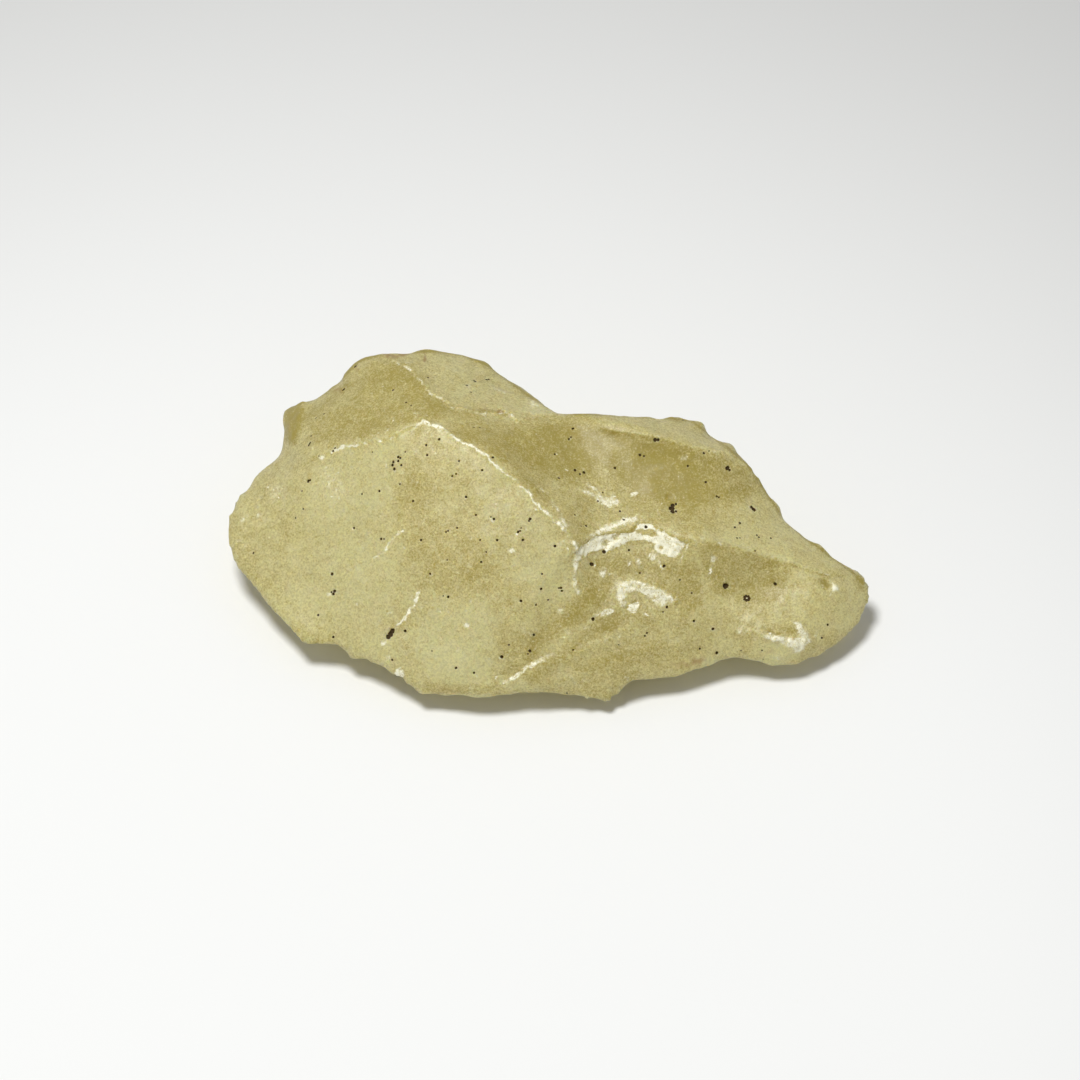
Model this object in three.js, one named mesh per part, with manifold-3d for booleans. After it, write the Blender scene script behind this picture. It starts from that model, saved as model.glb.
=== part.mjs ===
// A raw piece of natural desert glass: one worn, chipped lump, long and low, with a blunt snout at its
// right end. Broad flake scars meet in ridges, and a shell-shaped scar with ripples lies low on the front.
//
// All sizes are in millimetres. +Z is up, +X runs along the stone towards the snout, and the front of the
// stone faces -Y. The origin is under the middle of the stone, on the surface that it lies on.
//
// The front was measured along one line of sight, which looks down at the stone from the front. A point on
// it is [across, up, height]: across and up are measured square to the line of sight, and height is above
// the surface that the stone lies on. A point on the hidden back and underside is a plain [x, y, z].

import * as THREE from "three";
import { ImprovedNoise } from "three/addons/math/ImprovedNoise.js";
import { mergeVertices } from "three/addons/utils/BufferGeometryUtils.js";
import Module from "manifold-3d";

// Driving dimensions
const SIGHT_DEG = 50; // how far the line of sight looks down
const ROUNDS = 2; // how often every triangle is cut in four
const SHARP = 2; // a ridge that stays sharp through every round
const WORN = 1; // a ridge that the last round makes blunt
const SOFT = 0; // a line of points with no ridge

// The outline, clockwise from the left end
const outline = [
  [-22.3, 6.2, 4.0],
  [-22.2, 7.6, 4.6],
  [-21.6, 8.5, 5.0],
  [-20.8, 9.0, 5.4],
  [-20.6, 9.8, 5.8],
  [-19.9, 10.7, 6.2],
  [-19.0, 11.4, 6.8],
  [-18.4, 12.1, 7.2],
  [-18.2, 13.0, 7.4],
  [-18.4, 13.9, 7.4],
  [-18.3, 14.7, 7.6],
  [-17.3, 15.1, 8.2],
  [-15.9, 15.5, 9.0],
  [-14.9, 16.3, 9.6],
  [-14.3, 17.1, 10.2],
  [-13.5, 18.0, 10.8],
  [-12.7, 18.5, 11.3],
  [-11.4, 18.6, 11.8],
  [-9.8, 18.7, 12.0],
  [-8.2, 18.9, 11.8],
  [-6.5, 18.8, 11.4],
  [-5.0, 18.5, 11.0],
  [-3.8, 17.9, 10.8],
  [-2.7, 16.9, 10.6],
  [-1.5, 16.2, 10.5],
  [-0.4, 15.5, 10.7],
  [0.3, 14.6, 11.2],
  [0.9, 14.4, 11.5],
  [2.4, 14.5, 11.5],
  [4.4, 14.4, 11.2],
  [6.4, 14.2, 10.7],
  [7.7, 13.9, 10.3],
  [8.6, 14.2, 10.0],
  [9.6, 14.4, 9.6],
  [10.7, 13.9, 9.3],
  [11.5, 12.9, 9.1],
  [12.6, 12.3, 8.9],
  [13.7, 11.5, 8.7],
  [14.7, 10.3, 8.4],
  [15.5, 9.3, 7.7],
  [15.7, 8.0, 7.0],
  [16.5, 6.9, 6.3],
  [17.7, 6.0, 5.7],
  [19.1, 4.9, 5.0],
  [20.4, 4.3, 4.3],
  [21.8, 3.5, 3.7],
  [22.5, 2.5, 3.1],
  [22.5, 1.3, 2.6],
  [21.9, 0.1, 2.3],
  [21.4, -0.9, 2.0],
  [20.3, -1.9, 1.8],
  [18.9, -2.7, 1.7],
  [17.6, -3.3, 1.6],
  [16.2, -3.4, 1.8],
  [14.8, -3.1, 2.1],
  [13.4, -3.0, 2.3],
  [11.7, -3.3, 2.2],
  [10.1, -3.8, 2.1],
  [8.5, -4.3, 2.0],
  [7.2, -4.3, 2.1],
  [6.0, -4.5, 2.1],
  [5.2, -5.1, 1.9],
  [4.2, -5.6, 1.6],
  [2.9, -5.8, 1.6],
  [1.7, -5.6, 1.8],
  [0.1, -5.3, 2.0],
  [-1.6, -5.3, 2.1],
  [-3.4, -5.5, 2.1],
  [-5.1, -5.6, 2.0],
  [-6.9, -5.5, 2.0],
  [-8.6, -5.3, 2.0],
  [-9.6, -4.8, 2.1],
  [-10.5, -4.0, 2.3],
  [-11.8, -3.4, 2.4],
  [-13.2, -2.8, 2.4],
  [-14.2, -2.2, 2.5],
  [-15.6, -1.9, 2.6],
  [-17.0, -1.7, 2.7],
  [-17.9, -0.7, 2.8],
  [-19.1, 0.5, 2.9],
  [-20.0, 1.5, 3.0],
  [-21.0, 2.8, 3.2],
  [-21.9, 3.9, 3.4],
  [-22.3, 5.1, 3.7],
];

// Ridges, ledges and loose points of the front. Each line is a run of points and how sharp it is.
const crown = [-8.9, 13.9, 14.3];
const shoulder = [0.9, 14.4, 11.5];
const stepEnd = [9.8, 5.4, 9.0];
const front = [
  // The long ridge from the crown round the right of the broad front scar
  [
    SHARP,
    crown,
    [-7.5, 13.3, 14.3],
    [-6.1, 12.5, 14.1],
    [-4.8, 11.9, 13.9],
    [-3.6, 11.1, 13.6],
    [-2.4, 10.1, 13.2],
    [-1.3, 9.0, 12.6],
    [-0.2, 7.9, 11.9],
    [0.9, 6.9, 11.3],
    [1.8, 5.9, 10.6],
    [2.1, 4.7, 9.7],
    [2.0, 3.1, 8.5],
    [1.8, 1.5, 7.3],
  ],
  // Its blunt lower end
  [
    WORN,
    [1.8, 1.5, 7.3],
    [0.9, 0.1, 6.2],
    [-0.4, -1.3, 5.2],
    [-1.6, -2.7, 4.3],
    [-2.9, -4.3, 3.2],
  ],
  // The ledge along the top of the broad front scar
  [
    WORN,
    crown,
    [-10.3, 12.8, 13.6],
    [-11.8, 12.7, 12.9],
    [-13.3, 12.3, 12.0],
    [-14.7, 12.0, 11.0],
    [-15.9, 11.3, 10.0],
  ],
  // The crest of the upper lump
  [
    SHARP,
    [-11.4, 18.6, 11.8],
    [-10.7, 18.0, 12.4],
    [-9.7, 17.3, 12.9],
    [-8.7, 16.3, 13.3],
    [-7.5, 15.4, 13.4],
    [-6.3, 14.8, 13.2],
    [-4.8, 14.5, 12.7],
    [-3.2, 14.3, 12.2],
    [-1.8, 14.0, 11.8],
    [-0.5, 14.1, 11.6],
    shoulder,
  ],
  // The nub at the upper left
  [WORN, [-17.3, 15.1, 8.2], [-17.6, 13.7, 8.8], [-17.9, 12.6, 8.3], [-18.4, 12.1, 7.2]],
  // The crest along the back, from the shoulder to the right
  [
    SHARP,
    shoulder,
    [3.6, 14.0, 12.0],
    [5.7, 13.5, 12.1],
    [7.5, 12.8, 11.9],
    [9.9, 12.1, 11.3],
    [11.9, 11.6, 10.6],
    [13.3, 10.9, 9.8],
    [14.7, 10.3, 8.4],
  ],
  // The edge of the upper right hollow, which runs out to the snout
  [
    SHARP,
    stepEnd,
    [12.0, 5.3, 8.5],
    [14.1, 4.8, 7.7],
    [16.2, 4.1, 6.9],
    [18.3, 3.5, 6.3],
    [20.3, 3.1, 5.5],
  ],
  // The outer ripple of the shell-shaped scar
  [WORN, [2.1, 4.7, 9.7], [3.1, 5.5, 9.5], [4.7, 6.1, 9.5], [6.6, 6.5, 9.5], [8.3, 6.1, 9.3], stepEnd],
  // The inner ripple
  [WORN, [4.6, 1.2, 6.4], [5.2, 2.1, 7.0], [6.8, 2.6, 7.2], [8.7, 1.6, 6.5]],
  // The fold under the snout
  [WORN, [13.8, -0.6, 4.5], [15.9, -1.0, 4.2], [17.8, -1.5, 3.5]],
  // The broad front scar
  [SOFT, [-21.2, 7.6, 5.6], [-21.0, 5.4, 4.7], [-20.4, 3.6, 4.0]],
  [SOFT, [-18.2, 9.1, 7.9], [-19.2, 6.6, 6.2], [-18.1, 4.1, 5.2], [-17.6, 1.5, 3.9]],
  [SOFT, [-16.0, 9.7, 9.1], [-15.3, 6.9, 8.1], [-15.9, 3.8, 5.9], [-14.8, 1.0, 4.7]],
  [SOFT, [-12.8, 9.8, 10.8], [-12.4, 7.0, 9.2], [-12.2, 3.9, 7.4], [-12.8, -0.4, 4.3]],
  [SOFT, [-9.5, 11.1, 12.7], [-9.2, 7.0, 10.5], [-8.6, 2.1, 7.4], [-8.3, -2.1, 4.4]],
  [SOFT, [-5.7, 9.7, 12.6], [-4.8, 4.9, 9.9], [-4.4, 0.1, 6.7], [-5.1, -3.5, 3.9]],
  [SOFT, [-1.2, 5.9, 10.7], [-0.9, 2.1, 8.1], [-2.0, -1.0, 5.8]],
  // The face over the ledge
  [SOFT, [-16.2, 13.6, 9.8], [-14.2, 14.5, 11.2], [-12.3, 16.6, 11.9], [-11.4, 14.6, 12.9]],
  [SOFT, [-9.6, 15.5, 13.3], [-7.4, 14.4, 13.9]],
  // The back of the upper lump
  [SOFT, [-8.0, 17.4, 12.6], [-5.4, 17.0, 12.2], [-4.0, 15.9, 11.8], [-1.9, 15.1, 11.3]],
  // The upper right hollow
  [SOFT, [-2.8, 12.5, 12.8], [-0.2, 10.4, 11.4], [0.8, 12.5, 11.6], [2.2, 8.0, 10.6]],
  [SOFT, [3.6, 11.8, 10.9], [3.0, 9.4, 10.1], [4.8, 7.8, 9.5]],
  [SOFT, [6.4, 11.2, 10.5], [6.4, 8.5, 9.4], [9.9, 10.1, 9.7], [9.9, 7.5, 9.0]],
  [SOFT, [13.1, 9.0, 8.7], [13.8, 6.7, 8.0], [16.9, 5.1, 6.7]],
  // The band behind the crest
  [SOFT, [9.0, 13.2, 10.9], [11.6, 12.4, 10.1]],
  // The shell-shaped scar
  [SOFT, [3.6, 3.6, 7.9], [6.4, 4.3, 7.8], [9.0, 3.5, 7.2], [3.6, 0.2, 6.0], [6.4, 0.4, 5.6], [8.9, -0.2, 5.2]],
  // The pocket under the edge, and the snout
  [SOFT, [12.0, 3.1, 6.5], [14.2, 2.8, 5.6], [15.8, 2.7, 5.4], [10.6, 1.2, 5.8], [13.4, 0.7, 5.1]],
  [SOFT, [17.3, 2.4, 5.7], [17.1, 0.7, 5.0], [19.4, 1.7, 5.0], [21.0, 1.9, 4.3], [19.6, -0.4, 3.5], [15.5, -2.2, 3.1]],
  // The foot of the front
  [SOFT, [12.0, -1.4, 4.0], [8.6, -2.2, 3.9], [5.7, -2.9, 3.7], [2.9, -4.0, 3.1], [0.6, -2.9, 4.3], [3.7, -1.5, 4.8]],
  [SOFT, [-0.7, -4.3, 3.2], [-10.3, -2.6, 3.8], [-15.8, -0.4, 3.6]],
];

// The hidden back and underside
const hidden = [
  // The ridge along the back
  [
    WORN,
    [-17.4, 12.2, 5.2],
    [-14.2, 14.4, 6.6],
    [-10.2, 15.9, 7.9],
    [-6.0, 16.1, 7.8],
    [-2.6, 14.6, 7.2],
    [0.6, 12.1, 7.3],
    [4.0, 11.2, 7.2],
    [7.4, 11.4, 6.6],
    [10.4, 10.9, 5.8],
    [13.2, 8.9, 5.6],
    [15.0, 6.2, 4.8],
  ],
  // The middle of the back
  [SOFT, [-17.6, 13.4, 5.9], [-18.4, 9.4, 2.6], [-13.6, 14.4, 3.6], [-8.0, 16.0, 4.2], [-3.4, 14.4, 3.8]],
  [SOFT, [1.6, 12.1, 3.6], [6.0, 11.4, 3.4], [11.0, 9.8, 3.0], [16.4, 4.6, 2.8]],
  // The edge where the back turns under
  [SOFT, [-16.6, 8.0, 0.9], [-12.6, 12.6, 0.9], [-7.6, 13.9, 0.7], [-2.4, 12.6, 0.7]],
  [SOFT, [2.6, 10.2, 0.6], [7.8, 9.6, 0.7], [12.4, 6.8, 0.9], [16.4, 2.2, 1.2]],
  // The base, a little under the flat that is cut from it
  [SOFT, [-11.0, 9.0, -0.6], [-5.0, 9.5, -0.7], [1.0, 6.8, -0.6], [7.0, 5.6, -0.5]],
  [SOFT, [-14.5, 3.6, -0.3], [-8.5, 3.6, -0.8], [-2.5, 3.0, -0.8], [4.5, 1.2, -0.6], [11.4, 2.2, -0.4]],
  [SOFT, [-10.5, -1.2, -0.3], [-4.5, -2.4, -0.6], [1.5, -3.2, -0.5], [7.5, -2.9, -0.4], [13.0, -1.2, 0.1]],
  // The bevel under the front
  [SOFT, [-19.2, 4.0, 1.6], [-16.4, 0.2, 1.0], [-9.4, -5.0, 0.7], [-3.0, -6.7, 0.7], [4.0, -6.5, 0.5]],
  [SOFT, [10.0, -4.6, 0.8], [16.0, -3.0, 0.9], [19.4, -0.6, 1.2]],
];

// Relief, as [depth, wavelength] in each case
const SWELL = [0.22, 5.2];
const GRAIN = [0.1, 1.9];
const RIPPLE = [0.14, 2.7];
const rippleMiddle = [6.8, -1.2]; // across and up
const rippleReach = [3.2, 11.0]; // from this far out to this far
const rippleWay = [-0.71, 0.71]; // the side of the middle that they spread to
const chordBulge = 0.12; // of a chord's length, so that a corner of the outline has thickness

const sight = THREE.MathUtils.degToRad(SIGHT_DEG);
const towardsEye = new THREE.Vector3(0, -Math.cos(sight), Math.sin(sight));

// A point measured along the line of sight, and what the eye sees of a point.
const seen = ([across, up, height]) =>
  new THREE.Vector3(across, (up - height * Math.cos(sight)) / Math.sin(sight), height);
const plain = ([x, y, z]) => new THREE.Vector3(x, y, z);
const acrossUp = (p) => [p.x, p.y * Math.sin(sight) + p.z * Math.cos(sight)];
const key = (a, b) => (a < b ? `${a}_${b}` : `${b}_${a}`);

// The net: numbered points, and how sharp each edge is.
const points = [];
const sharpness = new Map();
const numbers = new Map();

function numberOf(p) {
  const name = p.toArray().map((v) => v.toFixed(3)).join();
  if (!numbers.has(name)) {
    numbers.set(name, points.length);
    points.push(p);
  }
  return numbers.get(name);
}

function addLine([sharp, ...run], place) {
  const line = run.map((p) => numberOf(place(p)));
  for (let i = 1; sharp && i < line.length; i++) sharpness.set(key(line[i - 1], line[i]), sharp);
  return line;
}

// Bowyer and Watson's triangulation of numbered points in the plane that the eye sees.
function triangulate(members) {
  const far = 1000;
  const flat = new Map(members.map((n) => [n, acrossUp(points[n])]));
  flat.set("left", [-far, -far]).set("right", [far, -far]).set("top", [0, far]);
  const holds = ([a, b, c], p) => {
    const [r, s, t] = [a, b, c].map((n) => {
      const [x, y] = flat.get(n);
      const [dx, dy] = [x - p[0], y - p[1]];
      return [dx, dy, dx * dx + dy * dy];
    });
    return (
      r[0] * (s[1] * t[2] - s[2] * t[1]) - r[1] * (s[0] * t[2] - s[2] * t[0]) + r[2] * (s[0] * t[1] - s[1] * t[0]) > 0
    );
  };
  let faces = [["left", "right", "top"]];
  for (const n of members) {
    const crossed = faces.filter((f) => holds(f, flat.get(n)));
    const kept = faces.filter((f) => !crossed.includes(f));
    const rim = crossed
      .flatMap(([a, b, c]) => [[a, b], [b, c], [c, a]])
      .filter(([a, b], i, edges) => !edges.some(([c, d]) => c === b && d === a));
    faces = [...kept, ...rim.map(([a, b]) => [a, b, n])];
  }
  return faces.filter((f) => f.every((n) => Number.isInteger(n)));
}

const middleOf = (corners) => [0, 1].map((k) => corners.reduce((sum, corner) => sum + corner[k], 0) / corners.length);

function insideOutline([x, y], loop) {
  let inside = false;
  for (let i = 0, j = loop.length - 1; i < loop.length; j = i++) {
    const [ax, ay] = acrossUp(points[loop[i]]);
    const [bx, by] = acrossUp(points[loop[j]]);
    if (ay > y !== by > y && x < ((bx - ax) * (y - ay)) / (by - ay) + ax) inside = !inside;
  }
  return inside;
}

// The triangles of one side. A ridge that they leave out gets a point at its middle, until they follow it.
// A chord between two points of the outline gets one too, raised to this side: both sides would share it.
function skin(loop, inner, side) {
  const members = [...loop, ...inner];
  const place = new Map(loop.map((n, i) => [n, i]));
  const onLoop = (a, b) => [1, loop.length - 1].includes(Math.abs(place.get(a) - place.get(b)));
  for (;;) {
    const faces = triangulate(members).filter((f) => insideOutline(middleOf(f.map((n) => acrossUp(points[n]))), loop));
    const edges = new Map(faces.flatMap((f) => f.map((a, i) => [key(a, f[(i + 1) % 3]), [a, f[(i + 1) % 3]]])));
    const before = members.length;
    for (const [name, sharp] of [...sharpness]) {
      const [a, b] = name.split("_").map(Number);
      if (edges.has(name) || !members.includes(a) || !members.includes(b) || onLoop(a, b)) continue;
      const middle = numberOf(points[a].clone().lerp(points[b], 0.5));
      sharpness.delete(name);
      sharpness.set(key(a, middle), sharp).set(key(middle, b), sharp);
      members.push(middle);
    }
    for (const [a, b] of edges.values()) {
      if (!place.has(a) || !place.has(b) || onLoop(a, b)) continue;
      const middle = points[a].clone().lerp(points[b], 0.5);
      middle.addScaledVector(towardsEye, side * chordBulge * points[a].distanceTo(points[b]));
      members.push(numberOf(middle));
    }
    if (members.length === before) return faces;
  }
}

// One round of Loop's subdivision. Points on a ridge follow the ridge alone, and points where ridges end
// or cross stay where they are.
function subdivide(net) {
  const edges = new Map();
  for (const [a, b, c] of net.faces)
    for (const [p, q, across] of [[a, b, c], [b, c, a], [c, a, b]]) {
      const name = key(p, q);
      if (!edges.has(name)) edges.set(name, { ends: [p, q], wings: [] });
      edges.get(name).wings.push(across);
    }
  const neighbours = net.points.map(() => []);
  const ridges = net.points.map(() => []);
  for (const [name, { ends: [p, q] }] of edges) {
    neighbours[p].push(q);
    neighbours[q].push(p);
    if (net.sharpness.get(name) > 0) {
      ridges[p].push(q);
      ridges[q].push(p);
    }
  }
  const sum = (list) => list.reduce((s, n) => s.add(net.points[n]), new THREE.Vector3());
  const moved = net.points.map((p, n) => {
    if (ridges[n].length > 2) return p.clone();
    if (ridges[n].length === 2) return p.clone().multiplyScalar(0.75).addScaledVector(sum(ridges[n]), 0.125);
    const count = neighbours[n].length;
    const weight = (0.625 - (0.375 + 0.25 * Math.cos((2 * Math.PI) / count)) ** 2) / count;
    return p.clone().multiplyScalar(1 - count * weight).addScaledVector(sum(neighbours[n]), weight);
  });
  const between = new Map();
  const finer = new Map();
  for (const [name, { ends: [p, q], wings }] of edges) {
    const sharp = net.sharpness.get(name) ?? SOFT;
    const middle = sum([p, q]).multiplyScalar(sharp > 0 ? 0.5 : 0.375);
    if (sharp <= 0) middle.addScaledVector(sum(wings), 0.125);
    const n = moved.push(middle) - 1;
    between.set(name, n);
    finer.set(key(p, n), sharp - 1).set(key(n, q), sharp - 1);
  }
  const faces = net.faces.flatMap(([a, b, c]) => {
    const [ab, bc, ca] = [between.get(key(a, b)), between.get(key(b, c)), between.get(key(c, a))];
    return [[a, ab, ca], [ab, b, bc], [ca, bc, c], [ab, bc, ca]];
  });
  return { points: moved, faces, sharpness: finer };
}

function normalsOf(net) {
  const normals = net.points.map(() => new THREE.Vector3());
  for (const f of net.faces) {
    const [a, b, c] = f.map((n) => net.points[n]);
    const normal = b.clone().sub(a).cross(c.clone().sub(a));
    for (const n of f) normals[n].add(normal);
  }
  return normals.map((n) => n.normalize());
}

// How far the surface stands out at a point: broad swells, a finer grain, and the ripples of the scar.
const noise = new ImprovedNoise();
const roughness = (p, [depth, wavelength]) =>
  depth * noise.noise(p.x / wavelength + 7.3, p.y / wavelength + 2.1, p.z / wavelength + 4.7);

function ripples(p, normal) {
  const way = acrossUp(p).map((v, k) => v - rippleMiddle[k]);
  const out = Math.hypot(...way);
  const [from, to] = rippleReach;
  const spread = (way[0] * rippleWay[0] + way[1] * rippleWay[1]) / out;
  if (out < from || out > to || spread < 0 || normal.dot(towardsEye) < 0.2) return 0;
  const fade = Math.sin((Math.PI * (out - from)) / (to - from)) * Math.sqrt(spread);
  return RIPPLE[0] * fade * Math.cos((2 * Math.PI * out) / RIPPLE[1]);
}

function relief(net) {
  const normals = normalsOf(net);
  return {
    ...net,
    points: net.points.map((p, n) => {
      const stands = roughness(p, SWELL) + roughness(p, GRAIN) + ripples(p, normals[n]);
      return p.clone().addScaledVector(normals[n], stands);
    }),
  };
}

// The rough stone
const loop = addLine([WORN, ...outline, outline[0]], seen).slice(0, -1);
const frontLines = front.map((line) => addLine(line, seen));
const hiddenLines = hidden.map((line) => addLine(line, plain));
const inner = (lines) => [...new Set(lines.flat())].filter((n) => !loop.includes(n));
const frontFaces = skin(loop, inner(frontLines), 1);
const hiddenFaces = skin(loop, inner(hiddenLines), -1);
let net = { points, faces: [...frontFaces, ...hiddenFaces.map(([a, b, c]) => [a, c, b])], sharpness };

const drawn = new Set(net.faces.flatMap(([a, b, c]) => [key(a, b), key(b, c), key(c, a)]));
for (const name of sharpness.keys())
  if (!drawn.has(name)) {
    const ends = name.split("_").map((n) => acrossUp(points[n]).map((v) => v.toFixed(1)));
    throw new Error(`the ridge from ${ends[0]} to ${ends[1]} is no edge of the net: add a point beside it`);
  }
for (let round = 0; round < ROUNDS; round++) net = subdivide(net);
net = relief(net);

// The flat that the stone rests on is cut from it, and the origin moves under its middle.
const wasm = await Module();
wasm.setup();

function solidOf(geometry) {
  geometry.deleteAttribute("normal");
  geometry.deleteAttribute("uv");
  const merged = mergeVertices(geometry, 1e-4);
  const vertProperties = merged.attributes.position.array;
  return new wasm.Manifold(new wasm.Mesh({ numProp: 3, vertProperties, triVerts: new Uint32Array(merged.index.array) }));
}

const rough = new THREE.BufferGeometry().setFromPoints(net.points);
rough.setIndex(net.faces.flat());
const slab = new THREE.BoxGeometry(100, 100, 10).translate(0, 0, -5);
const cut = solidOf(rough).subtract(solidOf(slab));

const { vertProperties, triVerts } = cut.getMesh();
const geometry = new THREE.BufferGeometry();
geometry.setAttribute("position", new THREE.BufferAttribute(vertProperties, 3));
geometry.setIndex(new THREE.BufferAttribute(triVerts, 1));
geometry.computeBoundingBox();
const middle = geometry.boundingBox.getCenter(new THREE.Vector3());
geometry.translate(-middle.x, -middle.y, 0);
geometry.computeVertexNormals();

const desertGlass = new THREE.MeshStandardMaterial({ color: 0xbfb27a, roughness: 0.5, metalness: 0 });
const stone = new THREE.Mesh(geometry, desertGlass);
stone.name = "desert_glass_stone";

const piece = new THREE.Group();
piece.add(stone);

export default piece;
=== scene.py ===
# %% [markdown]
# # A raw piece of desert glass
#
# This lesson dresses a plain CAD stone as a raw piece of natural desert glass, one lump of almost pure
# silica glass. The wind has worn it to a frosted skin, old chips have left scooped faces with ridges between
# them, and gas bubbles that reach the skin have become small dark pits.
#
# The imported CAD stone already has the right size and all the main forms. The lesson adds what is too fine
# for it: worn crests, ripples, cracks, pits, and the finish of the glass.

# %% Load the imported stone
import math

import bmesh
import bpy
import numpy as np
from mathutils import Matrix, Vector, noise
from mathutils.bvhtree import BVHTree


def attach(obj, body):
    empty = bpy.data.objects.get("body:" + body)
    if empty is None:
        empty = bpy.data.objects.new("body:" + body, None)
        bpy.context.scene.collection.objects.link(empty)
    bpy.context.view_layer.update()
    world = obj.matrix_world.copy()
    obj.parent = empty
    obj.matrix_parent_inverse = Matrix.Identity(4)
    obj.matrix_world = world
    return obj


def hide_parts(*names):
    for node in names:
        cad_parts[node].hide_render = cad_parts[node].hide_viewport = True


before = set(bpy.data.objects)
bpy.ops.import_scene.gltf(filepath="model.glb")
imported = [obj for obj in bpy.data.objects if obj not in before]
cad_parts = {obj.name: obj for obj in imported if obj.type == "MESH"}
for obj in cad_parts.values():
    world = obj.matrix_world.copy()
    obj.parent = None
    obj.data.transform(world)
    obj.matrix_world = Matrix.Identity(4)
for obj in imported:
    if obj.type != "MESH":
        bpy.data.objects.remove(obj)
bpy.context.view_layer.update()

STONE = "desert_glass_stone"
MM = 0.001


def in_scene(name, data):
    """A new object of the scene."""
    made = bpy.data.objects.new(name, data)
    bpy.context.scene.collection.objects.link(made)
    return made


# %% [markdown]
# ## The camera, and what it is good for
#
# The photograph looks down at the stone by about 50 degrees, with a long lens from far away. The camera
# comes first, because it also tells where a mark of the photograph lies: every point of the stone is turned
# into a pixel, and a mark is made where its pixel is.

# %% Place the camera
PIXELS = 1080
PIXEL = 0.07 * MM  # what one pixel of the photograph covers on the stone
SIGHT = math.radians(50)
DISTANCE = 0.8
AIM = np.array((-0.45, 3.65, 0.0)) * MM
RIGHT = np.array((1.0, 0.0, 0.0))
UP = np.array((0.0, math.sin(SIGHT), math.cos(SIGHT)))
AHEAD = np.array((0.0, math.cos(SIGHT), -math.sin(SIGHT)))
EYE = AIM - AHEAD * DISTANCE
SENSOR = 36.0

camera = in_scene("camera", bpy.data.cameras.new("camera"))
camera.data.sensor_width = SENSOR
camera.data.lens = SENSOR * DISTANCE / (PIXELS * PIXEL)
camera.location = EYE
camera.rotation_euler = (math.pi / 2 - SIGHT, 0, 0)
bpy.context.scene.camera = camera


def pixels_of(points):
    """Where the camera sees points, in pixels of the photograph."""
    way = points - EYE
    scale = DISTANCE / PIXEL / (way @ AHEAD)
    return np.stack((PIXELS / 2 + way @ RIGHT * scale, PIXELS / 2 - way @ UP * scale), axis=1)


print("lens", round(camera.data.lens), "mm")

# %% [markdown]
# ## The skin of the stone
#
# The CAD stone is made of flat triangles. Its copy is rounded by one subdivision and then remeshed into
# even faces, as clay is smoothed before it is carved, so that a mark can fall anywhere.


# %% Round and remesh a copy of the CAD stone
COARSE_FACE = 0.345 * MM
SAME_POINT = 0.001 * MM


def reshape(mesh, change):
    """Runs a change on the points, edges and faces of a mesh."""
    skin = bmesh.new()
    skin.from_mesh(mesh)
    change(skin)
    skin.to_mesh(mesh)
    skin.free()
    mesh.update()


def make_real(piece):
    """Gives a piece the mesh that its modifiers make, and removes them."""
    graph = bpy.context.evaluated_depsgraph_get()
    source = piece.evaluated_get(graph)
    mesh = bpy.data.meshes.new_from_object(source, preserve_all_data_layers=True, depsgraph=graph)
    piece.modifiers.clear()
    piece.data = mesh


def smooth_out(piece, rounds):
    """Takes the facets off a skin by moving each point towards its neighbours."""
    soft = piece.modifiers.new("soft", "SMOOTH")
    soft.factor = 0.5
    soft.iterations = rounds
    make_real(piece)


def corners_of(mesh, what="co"):
    """The places or the normals of a mesh's points as an array."""
    source = mesh.vertices if what == "co" else mesh.vertex_normals
    values = np.empty(len(source) * 3)
    source.foreach_get("co" if what == "co" else "vector", values)
    return values.reshape(-1, 3)


def triangles_in(mesh):
    return sum(len(face.vertices) - 2 for face in mesh.polygons)


stone = in_scene("worn_glass_stone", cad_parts[STONE].data.copy())
reshape(stone.data, lambda skin: bmesh.ops.remove_doubles(skin, verts=skin.verts, dist=SAME_POINT))
rounding = stone.modifiers.new("rounding", "SUBSURF")
rounding.levels = rounding.render_levels = 1
even = stone.modifiers.new("even faces", "REMESH")
even.mode = "VOXEL"
even.voxel_size = COARSE_FACE
make_real(stone)
smooth_out(stone, rounds=3)
print("even skin:", triangles_in(stone.data), "triangles")

# %% [markdown]
# ## Measuring from a line, an area or a spot
#
# A few small tools are enough for all the marks. One gives each point's distance from a line and its side,
# and others give soft lines, areas and ovals, all in pixels of the photograph. The rest give noise, and how
# well the camera sees each point. A point that it can't see gets no mark of the photograph.

# %% Distances from lines, soft areas and noise
NOISE_GAIN = 1.6  # the noise itself stays within about 0.6 of nothing
SEED_STEP = np.array((17.3, 5.9, 11.1))
BARELY_FACING = 0.02
WELL_FACING = 0.2
OFF_THE_SKIN = 0.2 * MM  # where a look back to the camera starts


def step_up(values, low, high):
    """0 below low, 1 above high, and a smooth rise between them."""
    t = np.clip((values - low) / (high - low), 0, 1)
    return t * t * (3 - 2 * t)


def from_line(spots, line):
    """Each spot's distance from a line in pixels, and 1 above a line that runs to the right, -1 below."""
    nearest = np.full(len(spots), 1e6)
    side = np.ones(len(spots))
    for a, b in zip(np.array(line[:-1], float), np.array(line[1:], float)):
        run = b - a
        part = np.clip((spots - a) @ run / (run @ run), 0, 1)
        gap = spots - (a + part[:, None] * run)
        away = np.hypot(*gap.T)
        nearer = away < nearest
        nearest[nearer] = away[nearer]
        side[nearer] = np.where(run[0] * gap[nearer, 1] - run[1] * gap[nearer, 0] < 0, 1, -1)
    return nearest, side


def near_line(spots, line, width):
    """1 on the line, falling to nothing over about twice the width."""
    return np.exp(-((from_line(spots, line)[0] / width) ** 2))


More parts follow.
